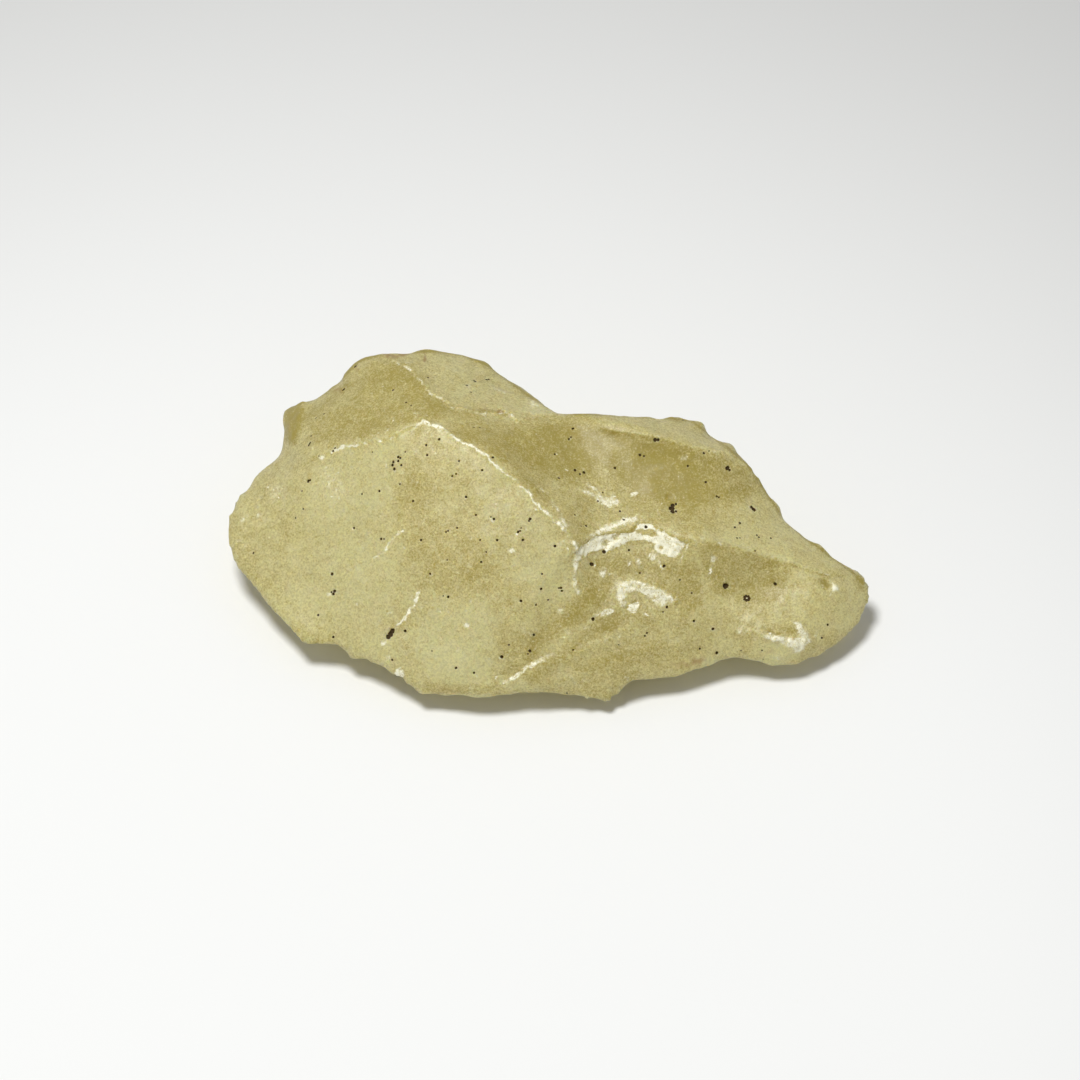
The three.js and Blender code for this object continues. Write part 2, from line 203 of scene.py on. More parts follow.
def in_area(spots, area, soft):
    """1 inside an area and 0 outside, with an edge that is soft by so many pixels on both sides."""
    closed = [*area, area[0]]
    away = from_line(spots, closed)[0]
    inside = np.zeros(len(spots), bool)
    for (ax, ay), (bx, by) in zip(closed[:-1], closed[1:]):
        if ay != by:
            crossed = (ay > spots[:, 1]) != (by > spots[:, 1])
            inside ^= crossed & (spots[:, 0] < ax + (bx - ax) * (spots[:, 1] - ay) / (by - ay))
    return step_up(np.where(inside, away, -away), -soft, soft)


def in_oval(spots, x, y, wide, high):
    """1 in the middle of an oval, falling to nothing over about twice its half sizes."""
    return np.exp(-(((spots[:, 0] - x) / wide) ** 2) - ((spots[:, 1] - y) / high) ** 2)


def grain(points, size, seed):
    """Smooth noise from -1 to 1 with lumps of one size, the same on each run."""
    places = (points / size + SEED_STEP * seed).tolist()
    return np.array([noise.noise(p) for p in places]) * NOISE_GAIN


def faces_of(mesh):
    """The faces of a mesh, ready to be searched."""
    return BVHTree.FromPolygons(corners_of(mesh).tolist(), [p.vertices[:] for p in mesh.polygons])


def facing_of(mesh):
    """How much the skin faces the camera at each point: 1 is straight on, 0 from the side."""
    return -corners_of(mesh, "normal") @ AHEAD


def seen_by_camera(mesh):
    """1 where the camera sees a point well, less where the skin turns away, 0 where it is hidden."""
    places = corners_of(mesh)
    facing = facing_of(mesh)
    faces = faces_of(mesh)
    towards = Vector(-AHEAD)
    weight = step_up(facing, -BARELY_FACING, WELL_FACING)
    for n in np.nonzero(facing > -BARELY_FACING)[0]:
        if faces.ray_cast(Vector(places[n]) + towards * OFF_THE_SKIN, towards)[0] is not None:
            weight[n] = 0
    return weight


# %% [markdown]
# ## Lines of the photograph
#
# These are the ridges, steps and cracks that the photograph shows, as pixels. Later cells carve and colour
# them from the same lists.

# %% Lines along ridges, steps and cracks
LONG_RIDGE = [
    (424, 421), (431, 425), (439, 427), (443, 429), (449, 434), (454, 437), (463, 443), (473, 446),
    (479, 451), (486, 455), (490, 459), (493, 464), (498, 468), (507, 475), (516, 481), (523, 488),
    (529, 493), (532, 499), (537, 505), (543, 511), (550, 516), (557, 523), (563, 529), (568, 534),
    (572, 539), (575, 545),
]
RIDGE_FOOT = [(575, 545), (577, 558), (576, 568), (575, 580), (576, 588), (578, 593)]
LEDGE = [
    (316, 458), (323, 455), (331, 452), (338, 450), (344, 446), (355, 447), (365, 443), (375, 440),
    (386, 439), (394, 436), (410, 428), (424, 421),
]
UPPER_CREST = [
    (388, 359), (397, 362), (400, 365), (408, 368), (413, 373), (420, 381), (425, 388), (430, 393),
    (438, 397), (447, 402), (453, 407), (463, 411), (473, 413), (483, 414), (497, 414), (506, 413),
]
SADDLE = [(506, 413), (513, 417), (519, 423), (530, 418), (545, 415), (560, 413)]
BACK_CREST = [
    (610, 431), (640, 435), (655, 438), (670, 441), (690, 447), (700, 450), (715, 452), (730, 455),
    (742, 463), (750, 472), (757, 480),
]
SNOUT_EDGE = [
    (690, 542), (705, 542), (720, 544), (735, 547), (745, 550), (757, 555), (770, 558), (780, 561),
    (788, 563), (800, 567), (812, 571), (825, 574), (838, 575),
]
SCAR_STEP = [
    (576, 551), (582, 545), (588, 541), (596, 537), (604, 535), (612, 534), (622, 534), (632, 532),
    (634, 528), (638, 525), (644, 523), (650, 524), (656, 527), (662, 531), (668, 534), (676, 538),
    (688, 544),
]
SCAR_END = [(688, 544), (686, 550), (682, 558)]
INNER_RIPPLE = [(619, 604), (618, 594), (624, 585), (636, 582), (648, 585), (660, 591), (675, 599)]
OUTER_RIPPLES = [
    [(598, 600), (580, 618), (560, 634), (540, 648), (520, 658)],
    [(640, 622), (618, 634), (595, 645), (570, 656), (548, 664)],
    [(655, 645), (630, 655), (605, 662), (580, 672), (560, 682)],
]
LOW_SCAR = [(508, 680), (514, 677), (520, 672), (527, 666), (534, 662), (541, 659)]
OLD_CRACKS = [
    [(374, 558), (379, 556), (383, 553)],
    [(386, 549), (388, 544), (391, 540), (396, 536), (402, 531)],
    [(418, 594), (415, 603), (410, 609), (405, 617), (398, 625)],
]
SNOUT_FOLD = [(742, 632), (757, 633), (765, 636), (776, 639), (790, 642), (799, 646), (804, 642)]
FAR_RIM = [
    (296, 405), (325, 393), (345, 375), (358, 361), (385, 353), (430, 351), (462, 354), (490, 366),
    (515, 386), (545, 406), (565, 413), (640, 416), (672, 418), (690, 420), (715, 438), (745, 461),
    (761, 483), (778, 511), (804, 537), (849, 569), (863, 583),
]
FOLD_SLIT = [(763, 630), (769, 632), (775, 634), (781, 633), (792, 634)]
SNOUT_STEP = [(790, 563), (788, 580), (784, 600)]
NUB_EDGE = [(302, 402), (299, 420), (292, 440)]

# %% [markdown]
# ## Where the pits are
#
# The pits of the photograph are placed by pixel. The back and the underside aren't in it, so a small
# Geometry Nodes tree scatters pits for them: it spreads points over the skin with a fixed seed and makes
# most of them small and a few large. Those that the camera sees are then left out. Node sums are written
# with a small class, so that they read as ordinary Python.


# %% A class for node sums, and one for node trees
def sign(operation, turned=False):
    """A method that turns a Python sign into a Math node."""
    if turned:
        return lambda self, other: self.sum(operation, other, self)
    return lambda self, other: self.sum(operation, self, other)


class Wire:
    """A socket of a node tree. Sums with it add Math nodes."""

    def __init__(self, socket):
        self.socket = socket

    def sum(self, operation, *values):
        tree = self.socket.id_data
        node = tree.nodes.new("ShaderNodeMath")
        node.operation = operation
        for socket, value in zip(node.inputs, values):
            plug(tree, socket, value)
        return Wire(node.outputs[0])

    __add__ = sign("ADD")
    __radd__ = sign("ADD", turned=True)
    __sub__ = sign("SUBTRACT")
    __rsub__ = sign("SUBTRACT", turned=True)
    __mul__ = sign("MULTIPLY")
    __rmul__ = sign("MULTIPLY", turned=True)
    __truediv__ = sign("DIVIDE")
    __pow__ = sign("POWER")


def plug(tree, socket, value):
    """Links a wire to a socket, or sets the socket's own value."""
    if isinstance(value, Wire):
        tree.links.new(value.socket, socket)
    else:
        socket.default_value = value


class Net:
    """A node tree that takes nodes by type, with their settings and the values of their sockets."""

    def __init__(self, tree):
        self.tree = tree

    def add(self, kind, settings=None, sockets=None, out=0):
        node = self.tree.nodes.new(kind)
        for name, value in (settings or {}).items():
            setattr(node, name, value)
        for name, value in (sockets or {}).items():
            shown = [s for s in node.inputs if s.enabled and name in (s.name, s.identifier)]
            plug(self.tree, node.inputs[name] if isinstance(name, int) else shown[0], value)
        shown = [s for s in node.outputs if s.enabled]
        if shown:
            return Wire(shown[out] if isinstance(out, int) else node.outputs[out])

    def ramp(self, value, low, high):
        """0 below low, 1 above high, and a smooth rise between them."""
        sockets = {"Value": value, "From Min": low, "From Max": high, "To Min": 0.0, "To Max": 1.0}
        return self.add("ShaderNodeMapRange", {"interpolation_type": "SMOOTHSTEP"}, sockets)

    def distance(self, first, second):
        """How far two places are apart."""
        return self.add("ShaderNodeVectorMath", {"operation": "DISTANCE"}, {0: first, 1: second}, "Value")

    def blend(self, share, first, second):
        """One colour that turns into another."""
        sockets = {"Factor_Float": share, "A_Color": first, "B_Color": second}
        return self.add("ShaderNodeMix", {"data_type": "RGBA"}, sockets)


def geometry_tree(name, inputs):
    """A Geometry Nodes tree with named inputs. Returns the tree and its input wires."""
    tree = bpy.data.node_groups.new(name, "GeometryNodeTree")
    tree.interface.new_socket("Geometry", in_out="INPUT", socket_type="NodeSocketGeometry")
    for label, kind in inputs.items():
        tree.interface.new_socket(label, in_out="INPUT", socket_type="NodeSocket" + kind)
    tree.interface.new_socket("Geometry", in_out="OUTPUT", socket_type="NodeSocketGeometry")
    start = tree.nodes.new("NodeGroupInput")
    return Net(tree), {s.name: Wire(s) for s in start.outputs if s.name}


def end_tree(net, geometry, material):
    """Ends a tree in Realize Instances and Set Material."""
    real = net.add("GeometryNodeRealizeInstances", None, {"Geometry": geometry})
    dressed = net.add("GeometryNodeSetMaterial", None, {"Geometry": real, "Material": material})
    net.add("NodeGroupOutput", None, {"Geometry": dressed})


def run_tree(piece, net, values):
    """Runs a tree on a piece with values for its named inputs, and keeps the result as a plain mesh."""
    modifier = piece.modifiers.new("rule", "NODES")
    modifier.node_group = net.tree
    for item in net.tree.interface.items_tree:
        if item.in_out == "INPUT" and item.name in values:
            modifier[item.identifier] = values[item.name]
    make_real(piece)


# %% A tree that scatters pits
net, given = geometry_tree(
    "scattered pits",
    {
        "Pits per square metre": "Float",
        "Smallest radius": "Float",
        "Largest radius": "Float",
        "Seed": "Int",
        "Material": "Material",
    },
)
points = net.add(
    "GeometryNodeDistributePointsOnFaces",
    {"distribute_method": "RANDOM"},
    {"Mesh": given["Geometry"], "Density": given["Pits per square metre"], "Seed": given["Seed"]},
    "Points",
)
chance = net.add("FunctionNodeRandomValue", {"data_type": "FLOAT"}, {"Seed": given["Seed"]})
radius = given["Smallest radius"] + (given["Largest radius"] - given["Smallest radius"]) * chance**6.0


def store(geometry, name, value):
    """Keeps a value for each point under a name."""
    sockets = {"Geometry": geometry, "Name": name, "Value": value}
    return net.add("GeometryNodeStoreNamedAttribute", {"data_type": "FLOAT", "domain": "POINT"}, sockets)


dots = net.add("GeometryNodePointsToVertices", None, {"Points": store(points, "pit_radius", radius)})
end_tree(net, dots, given["Material"])

frosted_glass = bpy.data.materials.new("frosted desert glass")
scatter = in_scene("pit_places", stone.data.copy())
run_tree(
    scatter,
    net,
    {
        "Pits per square metre": 8.0e4,
        "Smallest radius": 0.085 * MM,
        "Largest radius": 0.4 * MM,
        "Seed": 7,
        "Material": frosted_glass,
    },
)
wild_places = corners_of(scatter.data)
wild_radii = np.empty(len(wild_places))
scatter.data.attributes["pit_radius"].data.foreach_get("value", wild_radii)
bpy.data.objects.remove(scatter)
print("scattered pits:", len(wild_places))

# %% Pits of the photograph
# Each has a pixel and a radius in pixels. The deep and the small ones are painted dark, and the shallow
# ones are not. One pit still has a plug in its middle, so it is a ring of small ones.
PLUG = (747, 598)
PLUG_RADIUS = 2.3
PLUG_PITS = 7
PLUG_PIT = 1.5
PIT_MOUTH = 1.22  # how much wider the worn mouth of a pit is than its dark spot
CLEAR_OF_FLOOR = 0.1 * MM
SIDE_ON = 0.1  # a face that faces the camera by less isn't seen well
OVER_THE_SKIN = 0.3 * MM
DEEP_PITS = {  # the pixels of each radius
    3: [(672, 508)],
    2.9: [(726, 586)],
    2.8: [(390, 634)],
    2.6: [(392, 631), (754, 509)],
    2.4: [(388, 637), (673, 511)],
    2.2: [(673, 505), (728, 468), (592, 564), (343, 389)],
    2: [(752, 507)],
    1.9: [(655, 440), (775, 584)],
    1.8: [(355, 366), (593, 619)],
    1.7: [(658, 440), (334, 591), (475, 381), (502, 657), (604, 552)],
    1.6: [(394, 469), (332, 574), (308, 481), (555, 546), (494, 519), (518, 532), (624, 520), (530, 651),
        (485, 412)],
    1.5: [(664, 566), (333, 594), (398, 457), (392, 465), (309, 445), (487, 379), (575, 470), (584, 472),
        (683, 420), (694, 621), (713, 629), (717, 653), (456, 668), (521, 601), (541, 589), (405, 631),
        (416, 690)],
    1.4: [(730, 470), (393, 462), (530, 519), (586, 526), (573, 428), (740, 523), (534, 635), (448, 597)],
    1.3: [(676, 504), (676, 511), (401, 465), (310, 443), (561, 588), (562, 591)],
    1.2: [(400, 458), (398, 461), (310, 480), (520, 531), (529, 521), (487, 413)],
    1.1: [(331, 592), (489, 379), (559, 588)],
}
SMALL_PITS = {  # the pixels of each radius
    1.6: [(646, 527)],
    1.5: [(523, 540)],
    1.4: [(333, 637), (379, 491), (400, 484), (466, 497), (497, 540), (426, 445), (439, 439), (559, 478),
        (615, 468), (640, 455), (493, 457), (667, 607)],
    1.3: [(318, 615), (354, 528), (381, 539), (421, 540), (413, 501), (476, 515), (481, 562), (430, 574),
        (548, 600), (536, 605), (556, 684), (567, 693), (573, 650), (333, 451), (427, 455), (456, 474),
        (482, 470), (393, 390), (467, 385), (688, 466), (706, 482), (620, 511), (700, 649), (828, 625)],
    1.2: [(253, 553), (474, 673), (335, 448), (319, 456), (324, 414), (406, 402), (569, 439), (555, 454),
        (580, 474), (717, 496), (735, 527), (647, 633), (645, 636), (762, 651), (709, 451), (704, 453),
        (392, 660), (629, 550), (590, 535), (737, 538), (755, 551), (738, 455)],
    1.1: [(295, 518), (446, 532), (448, 531), (457, 528), (542, 574), (509, 645), (339, 454), (323, 460),
        (316, 418), (452, 476), (428, 377), (480, 427), (719, 497), (655, 431), (603, 492), (598, 501),
        (575, 515), (822, 638), (757, 535), (759, 537), (804, 570), (845, 568), (692, 593), (459, 461),
        (850, 632), (771, 665), (372, 452), (528, 654)],
    1: [(384, 539), (491, 517), (619, 645), (311, 436), (471, 392), (474, 427), (571, 437), (557, 480),
        (644, 456), (663, 612), (640, 573), (592, 537), (741, 651), (771, 538), (740, 538), (790, 552),
        (792, 553), (821, 561), (486, 552), (480, 540), (521, 528), (763, 660), (382, 452), (362, 494),
        (302, 491), (303, 509)],
    0.9: [(411, 405), (800, 560), (823, 562), (680, 580), (586, 540), (700, 518), (405, 452), (447, 560),
        (441, 637)],
    0.8: [(443, 596), (432, 651), (581, 526)],
}
SHALLOW_PITS = [
    (615, 538, 3.8), (605, 543, 5), (661, 548, 3), (572, 548, 3.4), (826, 584, 6), (747, 598, 3.6),
    (539, 492, 3), (326, 484, 1.8), (477, 367, 1.6), (270, 537, 1.6), (279, 541, 1.6), (670, 497, 4),
]
deep_pits, small_pits = ([(x, y, r) for r in pits for x, y in pits[r]] for pits in (DEEP_PITS, SMALL_PITS))
for n in range(PLUG_PITS):
    turn = 2 * math.pi * n / PLUG_PITS
    x, y = PLUG[0] + PLUG_RADIUS * math.cos(turn), PLUG[1] + PLUG_RADIUS * math.sin(turn)
    deep_pits.append((round(x, 1), round(y, 1), PLUG_PIT))
pit_kinds = [(deep_pits, 1.0), (small_pits, 0.85), (SHALLOW_PITS, 0.0)]
WILD_DARK = 0.95
stone_faces = faces_of(stone.data)


def on_stone(x, y):
    """The point of the stone that the camera sees at a pixel."""
    way = AHEAD * DISTANCE + (RIGHT * (x - PIXELS / 2) - UP * (y - PIXELS / 2)) * PIXEL
    return stone_faces.ray_cast(Vector(EYE), Vector(way).normalized())[0]


marked = [(on_stone(x, y), r * PIT_MOUTH * PIXEL, dark) for pits, dark in pit_kinds for x, y, r in pits]
print("pits of the photograph that miss the stone:", sum(place is None for place, r, dark in marked))
marked = [(list(place), r, dark) for place, r, dark in marked if place is not None]


def unseen(place):
    """True for a place of the skin that the camera doesn't see well."""
    place = Vector(place)
    away = stone_faces.find_nearest(place)[1].dot(Vector(AHEAD)) > -SIDE_ON
    return away or stone_faces.ray_cast(place - Vector(AHEAD) * OVER_THE_SKIN, Vector(-AHEAD))[0] is not None


wild = [n for n, place in enumerate(wild_places) if place[2] > CLEAR_OF_FLOOR and unseen(place)]
marked += [(wild_places[n].tolist(), wild_radii[n], WILD_DARK) for n in wild]
pit_places, pit_radii, pit_darks = (np.array(values) for values in zip(*marked))
print("pits in all:", len(pit_places))

# %% [markdown]
# ## Finer faces where the marks are
#
# Small faces all over would make a heavy mesh, so the skin is cut finer in three rounds: first the side that
# the photograph shows, then the ridges, scars and pits, and last the pits and the sharpest lines alone.


# %% Cut the skin finer near the marks
def cut_finer(mesh, wanted):
    """Cuts the edges between wanted points in two, with a grid inside each face."""

    def cut(skin):
        edges = [e for e in skin.edges if wanted[e.verts[0].index] and wanted[e.verts[1].index]]
        bmesh.ops.subdivide_edges(skin, edges=edges, cuts=1, use_grid_fill=True)

    reshape(mesh, cut)


def near_pits(places, reach, margin):
    """True for points near a pit: within reach, counted in its radius, and a margin."""
    close = np.zeros(len(places), bool)
    order = np.argsort(places[:, 0])
    along_x = places[order, 0]
    for centre, r in zip(pit_places, pit_radii):
        far = r * reach + margin
        low, high = np.searchsorted(along_x, (centre[0] - far, centre[0] + far))
        some = order[low:high]
        close[some[np.linalg.norm(places[some] - centre, axis=1) < far]] = True
    return close


def near_lines(mesh, lines, reach):
    """True for points that face the camera and lie within reach of a line, in pixels."""
    spots = pixels_of(corners_of(mesh))
    close = np.zeros(len(spots), bool)
    for line in lines:
        close |= from_line(spots, line)[0] < reach
    return close & (facing_of(mesh) > 0)


CARVED_LINES = [
    LONG_RIDGE, RIDGE_FOOT, LEDGE, UPPER_CREST, SADDLE, BACK_CREST, SNOUT_EDGE, SCAR_STEP, SCAR_END,
    INNER_RIPPLE, LOW_SCAR, SNOUT_FOLD, FOLD_SLIT, *OLD_CRACKS,
]
SHARP_LINES = [LONG_RIDGE, SCAR_STEP, SCAR_END, LEDGE[2:10]]
SCAR_GROUND = [(576, 535), (600, 498), (640, 512), (692, 540), (684, 562), (650, 562), (576, 566)]
RIPPLE_GROUND = [(588, 622), (612, 580), (640, 577), (680, 596), (678, 606), (640, 618)]

cut_finer(stone.data, facing_of(stone.data) > -SIDE_ON)
smooth_out(stone, rounds=1)
print("front side cut finer:", triangles_in(stone.data), "triangles")
spots = pixels_of(corners_of(stone.data))
wanted = near_lines(stone.data, CARVED_LINES, reach=4.5)
wanted |= near_pits(corners_of(stone.data), reach=1.5, margin=0.12 * MM)
for ground in (SCAR_GROUND, RIPPLE_GROUND):
    wanted |= (facing_of(stone.data) > 0) & (in_area(spots, ground, soft=1) > 0.5)
cut_finer(stone.data, wanted)
print("marks cut finer:", triangles_in(stone.data), "triangles")
wanted = near_lines(stone.data, SHARP_LINES, reach=2.3)
wanted |= near_pits(corners_of(stone.data), reach=1.15, margin=0.045 * MM)
cut_finer(stone.data, wanted)


def split_wide_faces(skin):
    """Splits the faces that have more than four corners."""
    bmesh.ops.triangulate(skin, faces=[f for f in skin.faces if len(f.verts) > 4])


reshape(stone.data, split_wide_faces)
print("pits cut finer:", triangles_in(stone.data), "triangles")

# %% [markdown]
# ## Crushed white glass and painted highlights
#
# Where a blow crushed the glass, and where the wind has ground a sharp ridge, the skin is full of tiny
# cracks and looks white. The same marks also paint white highlights: on the scar and its ripples, on the
# fold at the snout, as soft sheen on the left, and on the far side of a small hollow. The marks are areas,
# lines and spots. Before they are measured, each point's pixel is shaken by fine noise, which makes every
# edge ragged.

# %% White areas, lines and spots of the photograph: crushed glass and painted highlights
CRUSHED_AND_HIGHLIGHT_AREAS = [  # an area, the softness of its edge, and how white it is
    # The scar's step: crushed glass with a painted highlight where it faces the lamp.
    ([*SCAR_STEP[:7], (634, 532), (644, 534), (652, 537), (658, 534), (652, 530), (641, 529), (636, 532),
      *SCAR_STEP[9:16], (687, 544), (680, 552), (676, 558), (668, 556), (658, 553), (654, 549), (654, 544),
      (648, 541), (640, 540), (630, 541), (622, 545), (612, 549), (606, 553), (604, 549), (597, 550),
      (590, 553), (584, 557), (577, 561)], 1.2, 1.05),
    # The inner ripple's crest: a painted highlight.
    ([(617, 586), (622, 582), (630, 580), (640, 581), (652, 585), (661, 590), (668, 594), (676, 599),
      (671, 603), (662, 606), (656, 603), (648, 597), (640, 592), (630, 592), (625, 597), (625, 604),
      (627, 610), (621, 606), (616, 599)], 2.6, 0.85),
    ([(626, 610), (632, 604), (637, 602), (641, 604), (638, 609), (635, 614), (630, 612)], 1, 1),
    ([(593, 617), (603, 611), (610, 608), (614, 610), (612, 614), (605, 616)], 1, 0.9),
    # A painted highlight band above the scar, and a painted diffuse highlight above that.
    ([(586, 539), (600, 528), (614, 521), (630, 517), (638, 515), (637, 521), (622, 526), (606, 532)],
      3, 0.95),
    ([(596, 498), (606, 497), (620, 501), (618, 506), (608, 507), (599, 503)], 2, 0.8),
    ([(508, 678), (514, 676), (520, 671), (527, 665), (534, 661), (541, 657), (543, 661), (536, 665),
      (529, 668), (523, 673), (517, 679), (511, 682)], 1, 0.7),
    ([(500, 678), (511, 681), (508, 688), (504, 687)], 3, 0.5),
    ([(436, 428), (443, 430), (449, 435), (440, 434)], 2, 0.7),
    ([(679, 458), (687, 456), (690, 459), (681, 462)], 1.2, 0.6),
    ([(528, 402), (533, 399), (541, 407), (530, 409)], 2, 0.6),
    # The next four: painted highlights on the fold at the snout and below it, and painted light on the lit
    # far side of the small hollow at the snout.
    ([(794, 621), (802, 622), (808, 631), (812, 640), (803, 652), (795, 646), (798, 637)], 3, 0.85),
    ([(770, 650), (784, 652), (796, 648), (799, 654), (786, 658), (770, 656)], 4, 0.45),
    ([(832, 584), (838, 586), (840, 591), (832, 591)], 2.5, 0.8),
    ([(768, 633), (782, 636), (800, 638), (807, 646), (798, 653), (786, 645), (771, 640)], 2, 0.9),
    # The next two: painted soft highlights on the left of the stone.
    ([(322, 462), (345, 470), (352, 500), (330, 505), (318, 485)], 15, 0.42),
    ([(262, 484), (285, 480), (290, 500), (268, 505)], 10, 0.42),
    ([(395, 668), (403, 670), (403, 677), (395, 679)], 1.5, 1.1),
    ([(317, 456), (325, 454), (326, 459), (319, 460)], 1.5, 0.7),
]
# Most lines are crushed glass; those along the fold at the snout and in the band above the scar are painted
# highlights.
CRUSHED_AND_HIGHLIGHT_LINES = [  # a line, its half width, and how white it is
    (LONG_RIDGE, 1.7, 1.1), (RIDGE_FOOT, 2.4, 0.9), (LEDGE[2:10], 1.7, 1.25), (LEDGE[10:], 1.3, 0.8),
    (UPPER_CREST, 1.3, 0.85), (SADDLE, 1.2, 0.4), ([(512, 415), (516, 418), (520, 422)], 1.5, 0.8),
    (BACK_CREST[6:], 1.3, 0.5), (SCAR_END, 1, 1), (SNOUT_EDGE[:9], 1.1, 0.35), (SNOUT_EDGE[9:], 0.9, 0.5),
    ([(558, 522), (564, 529), (573, 540), (576, 550)], 3, 0.95),
    ([(552, 502), (557, 508), (562, 517), (566, 526)], 2.6, 0.6),
    ([(541, 489), (544, 492), (545, 496)], 1.2, 0.6), ([(659, 561), (660, 567), (663, 570)], 1, 0.9),
    ([(582, 558), (581, 568)], 1, 0.6), ([(574, 560), (576, 575), (575, 586), (578, 593)], 1.8, 0.9),
    (OLD_CRACKS[0], 1.4, 0.8), (OLD_CRACKS[1], 1.6, 0.95), (OLD_CRACKS[2], 1.8, 1.1),
    (SNOUT_FOLD[2:], 3.4, 1.1), ([(739, 631), (744, 633)], 3, 0.5), ([(750, 630), (758, 632)], 1.8, 0.7),
    ([(810, 640), (818, 635), (823, 633)], 1.6, 0.7), ([(713, 558), (712, 566), (710, 574)], 1.7, 0.85),
    ([(660, 469), (668, 466), (676, 463)], 2, 0.35), ([(414, 453), (417, 457), (421, 460)], 1.2, 0.75),
    ([(385, 463), (387, 467), (390, 470)], 1, 0.75), ([(494, 672), (497, 678)], 1.1, 0.8),
    ([(479, 658), (480, 663)], 1.2, 0.4), ([(530, 635), (534, 637)], 1, 0.7),
    ([(594, 654), (600, 650)], 1.6, 0.4), ([(488, 381), (495, 388), (505, 393)], 1, 0.6),
    ([(412, 412), (422, 415), (434, 420)], 1, 0.5), ([(398, 358), (406, 362), (412, 364)], 1.5, 0.5),
    ([(440, 361), (455, 360)], 2, 0.5), ([(430, 372), (440, 374)], 3, 0.45),
    ([(446, 368), (456, 372)], 2.5, 0.4), ([(463, 388), (474, 386)], 2.2, 0.4),
    ([(439, 611), (443, 613), (447, 612)], 0.9, 0.6), ([(588, 484), (594, 490), (600, 496)], 2.2, 1),
    ([(585, 491), (594, 496), (604, 502)], 2.4, 0.9), ([(604, 490), (614, 498), (624, 500)], 1.4, 0.75),
    ([(620, 506), (630, 509)], 1.5, 0.4), ([(606, 525), (622, 523), (634, 516)], 2.2, 0.6),
    ([(586, 533), (600, 529), (612, 526)], 2, 0.35), ([(600, 527), (612, 522), (628, 519)], 2, 0.4),
]
# Mostly crushed glass; the spots about the white blob of the scar are painted highlight.
CRUSHED_AND_HIGHLIGHT_SPOTS = {  # how white they are: spots, each with its radius
    1: [(511, 550, 3), (603, 573, 3.8), (639, 562, 2.6), (634, 494, 2.6), (595, 565, 1.3), (747, 599, 1.2),
        (383, 643, 2.4)],
    0.9: [(467, 625, 2.8), (653, 556, 4), (624, 491, 1.8), (646, 615, 1.6), (516, 534, 1.4),
        (713, 559, 2.8)],
    0.85: [(560, 611, 2.8), (540, 660, 3.6)],
    0.8: [(471, 602, 1.6), (485, 603, 1.3), (437, 611, 1.4), (629, 563, 2), (388, 430, 1.5),
        (492, 521, 1.3), (329, 594, 2), (569, 549, 1.4), (259, 515, 2.2), (388, 657, 2.2), (394, 471, 1.5)],
    0.7: [(636, 516, 2.4), (697, 455, 1.4), (697, 543, 1.6), (430, 493, 1.5), (257, 507, 2)],
    0.6: [(568, 632, 3.2), (583, 469, 1.6), (465, 499, 1.3), (470, 565, 2.2), (514, 565, 2),
        (575, 684, 1.6), (243, 520, 2.4), (239, 541, 2.6)],
    0.55: [(782, 598, 4)],
    0.5: [(632, 518, 3), (563, 459, 1.4), (629, 469, 1.2), (385, 412, 1.6), (433, 456, 1.5),
        (430, 577, 1.6), (535, 510, 1.6), (456, 682, 1.3), (776, 602, 3.5)],
    0.4: [(579, 511, 2.6), (559, 472, 1.5), (470, 487, 1.4), (412, 432, 2.4), (533, 612, 1.6)],
    0.35: [(535, 436, 2), (250, 500, 3), (310, 420, 2.6), (394, 419, 3.2)],
    0.3: [(383, 386, 4.5), (750, 574, 2.2), (697, 581, 1.6), (341, 466, 1.4), (262, 497, 3.2),
        (328, 430, 3), (334, 440, 2.4), (366, 502, 1.5), (800, 580, 2.4), (814, 588, 2.6), (419, 598, 1.5)],
    0.2: [(620, 640, 3)],
}

SHAKE = 1.3  # in pixels
SHAKE_LUMPS = 0.28 * MM
SPOT_EDGE = 1.2  # how far a spot reaches, in its radius
CLEAN_PITS = SHALLOW_PITS[:4]  # these lie in crushed glass, which is worn away inside them


def shaken(spots, places):
    """The spots moved about by a pixel or two, so that an edge near them is ragged."""
    return spots + SHAKE * np.stack([grain(places, SHAKE_LUMPS, seed) for seed in (21, 22)], axis=1)


def crushed_and_highlight_share(mesh, seen):
    """How white the crushed glass and the painted highlights are at each point."""
    places = corners_of(mesh)
    spots = shaken(pixels_of(places), places)
    broken = 0.75 + 0.55 * grain(places, 0.8 * MM, 23) + 0.25 * grain(places, 0.3 * MM, 24)
    crushed_and_highlight = np.zeros(len(places))
    for area, soft, share in CRUSHED_AND_HIGHLIGHT_AREAS:
        crushed_and_highlight = np.maximum(crushed_and_highlight, share * in_area(spots, area, soft))
    for line, width, share in CRUSHED_AND_HIGHLIGHT_LINES:
        crushed_and_highlight = np.maximum(crushed_and_highlight, share * near_line(spots, line, width) * np.clip(broken, 0.15, 1.15))
    for share, each in CRUSHED_AND_HIGHLIGHT_SPOTS.items():
        for x, y, r in each:
            crushed_and_highlight = np.maximum(crushed_and_highlight, share * in_oval(spots, x, y, SPOT_EDGE * r, SPOT_EDGE * r))
    for x, y, r in CLEAN_PITS:
        crushed_and_highlight *= 1 - 0.75 * in_oval(pixels_of(places), x, y, 0.7 * r, 0.7 * r)
    return crushed_and_highlight * seen


crushed_and_highlight = crushed_and_highlight_share(stone.data, seen_by_camera(stone.data))
print("points with crushed glass:", int((crushed_and_highlight > 0.5).sum()))

# %% [markdown]
# ## Carving
#
# All the carving is one sum: how far each point of the skin moves in or out along its normal, in
# millimetres. Worn crests stand out a little and are crumbly, steps drop on one side, cracks are shallow
# grooves, the shell-shaped scar has ripples, and the rim is nudged to meet the photograph. The dents of a
# wind-worn skin cover the whole stone, and they are deepest at the back, which the photograph doesn't show.

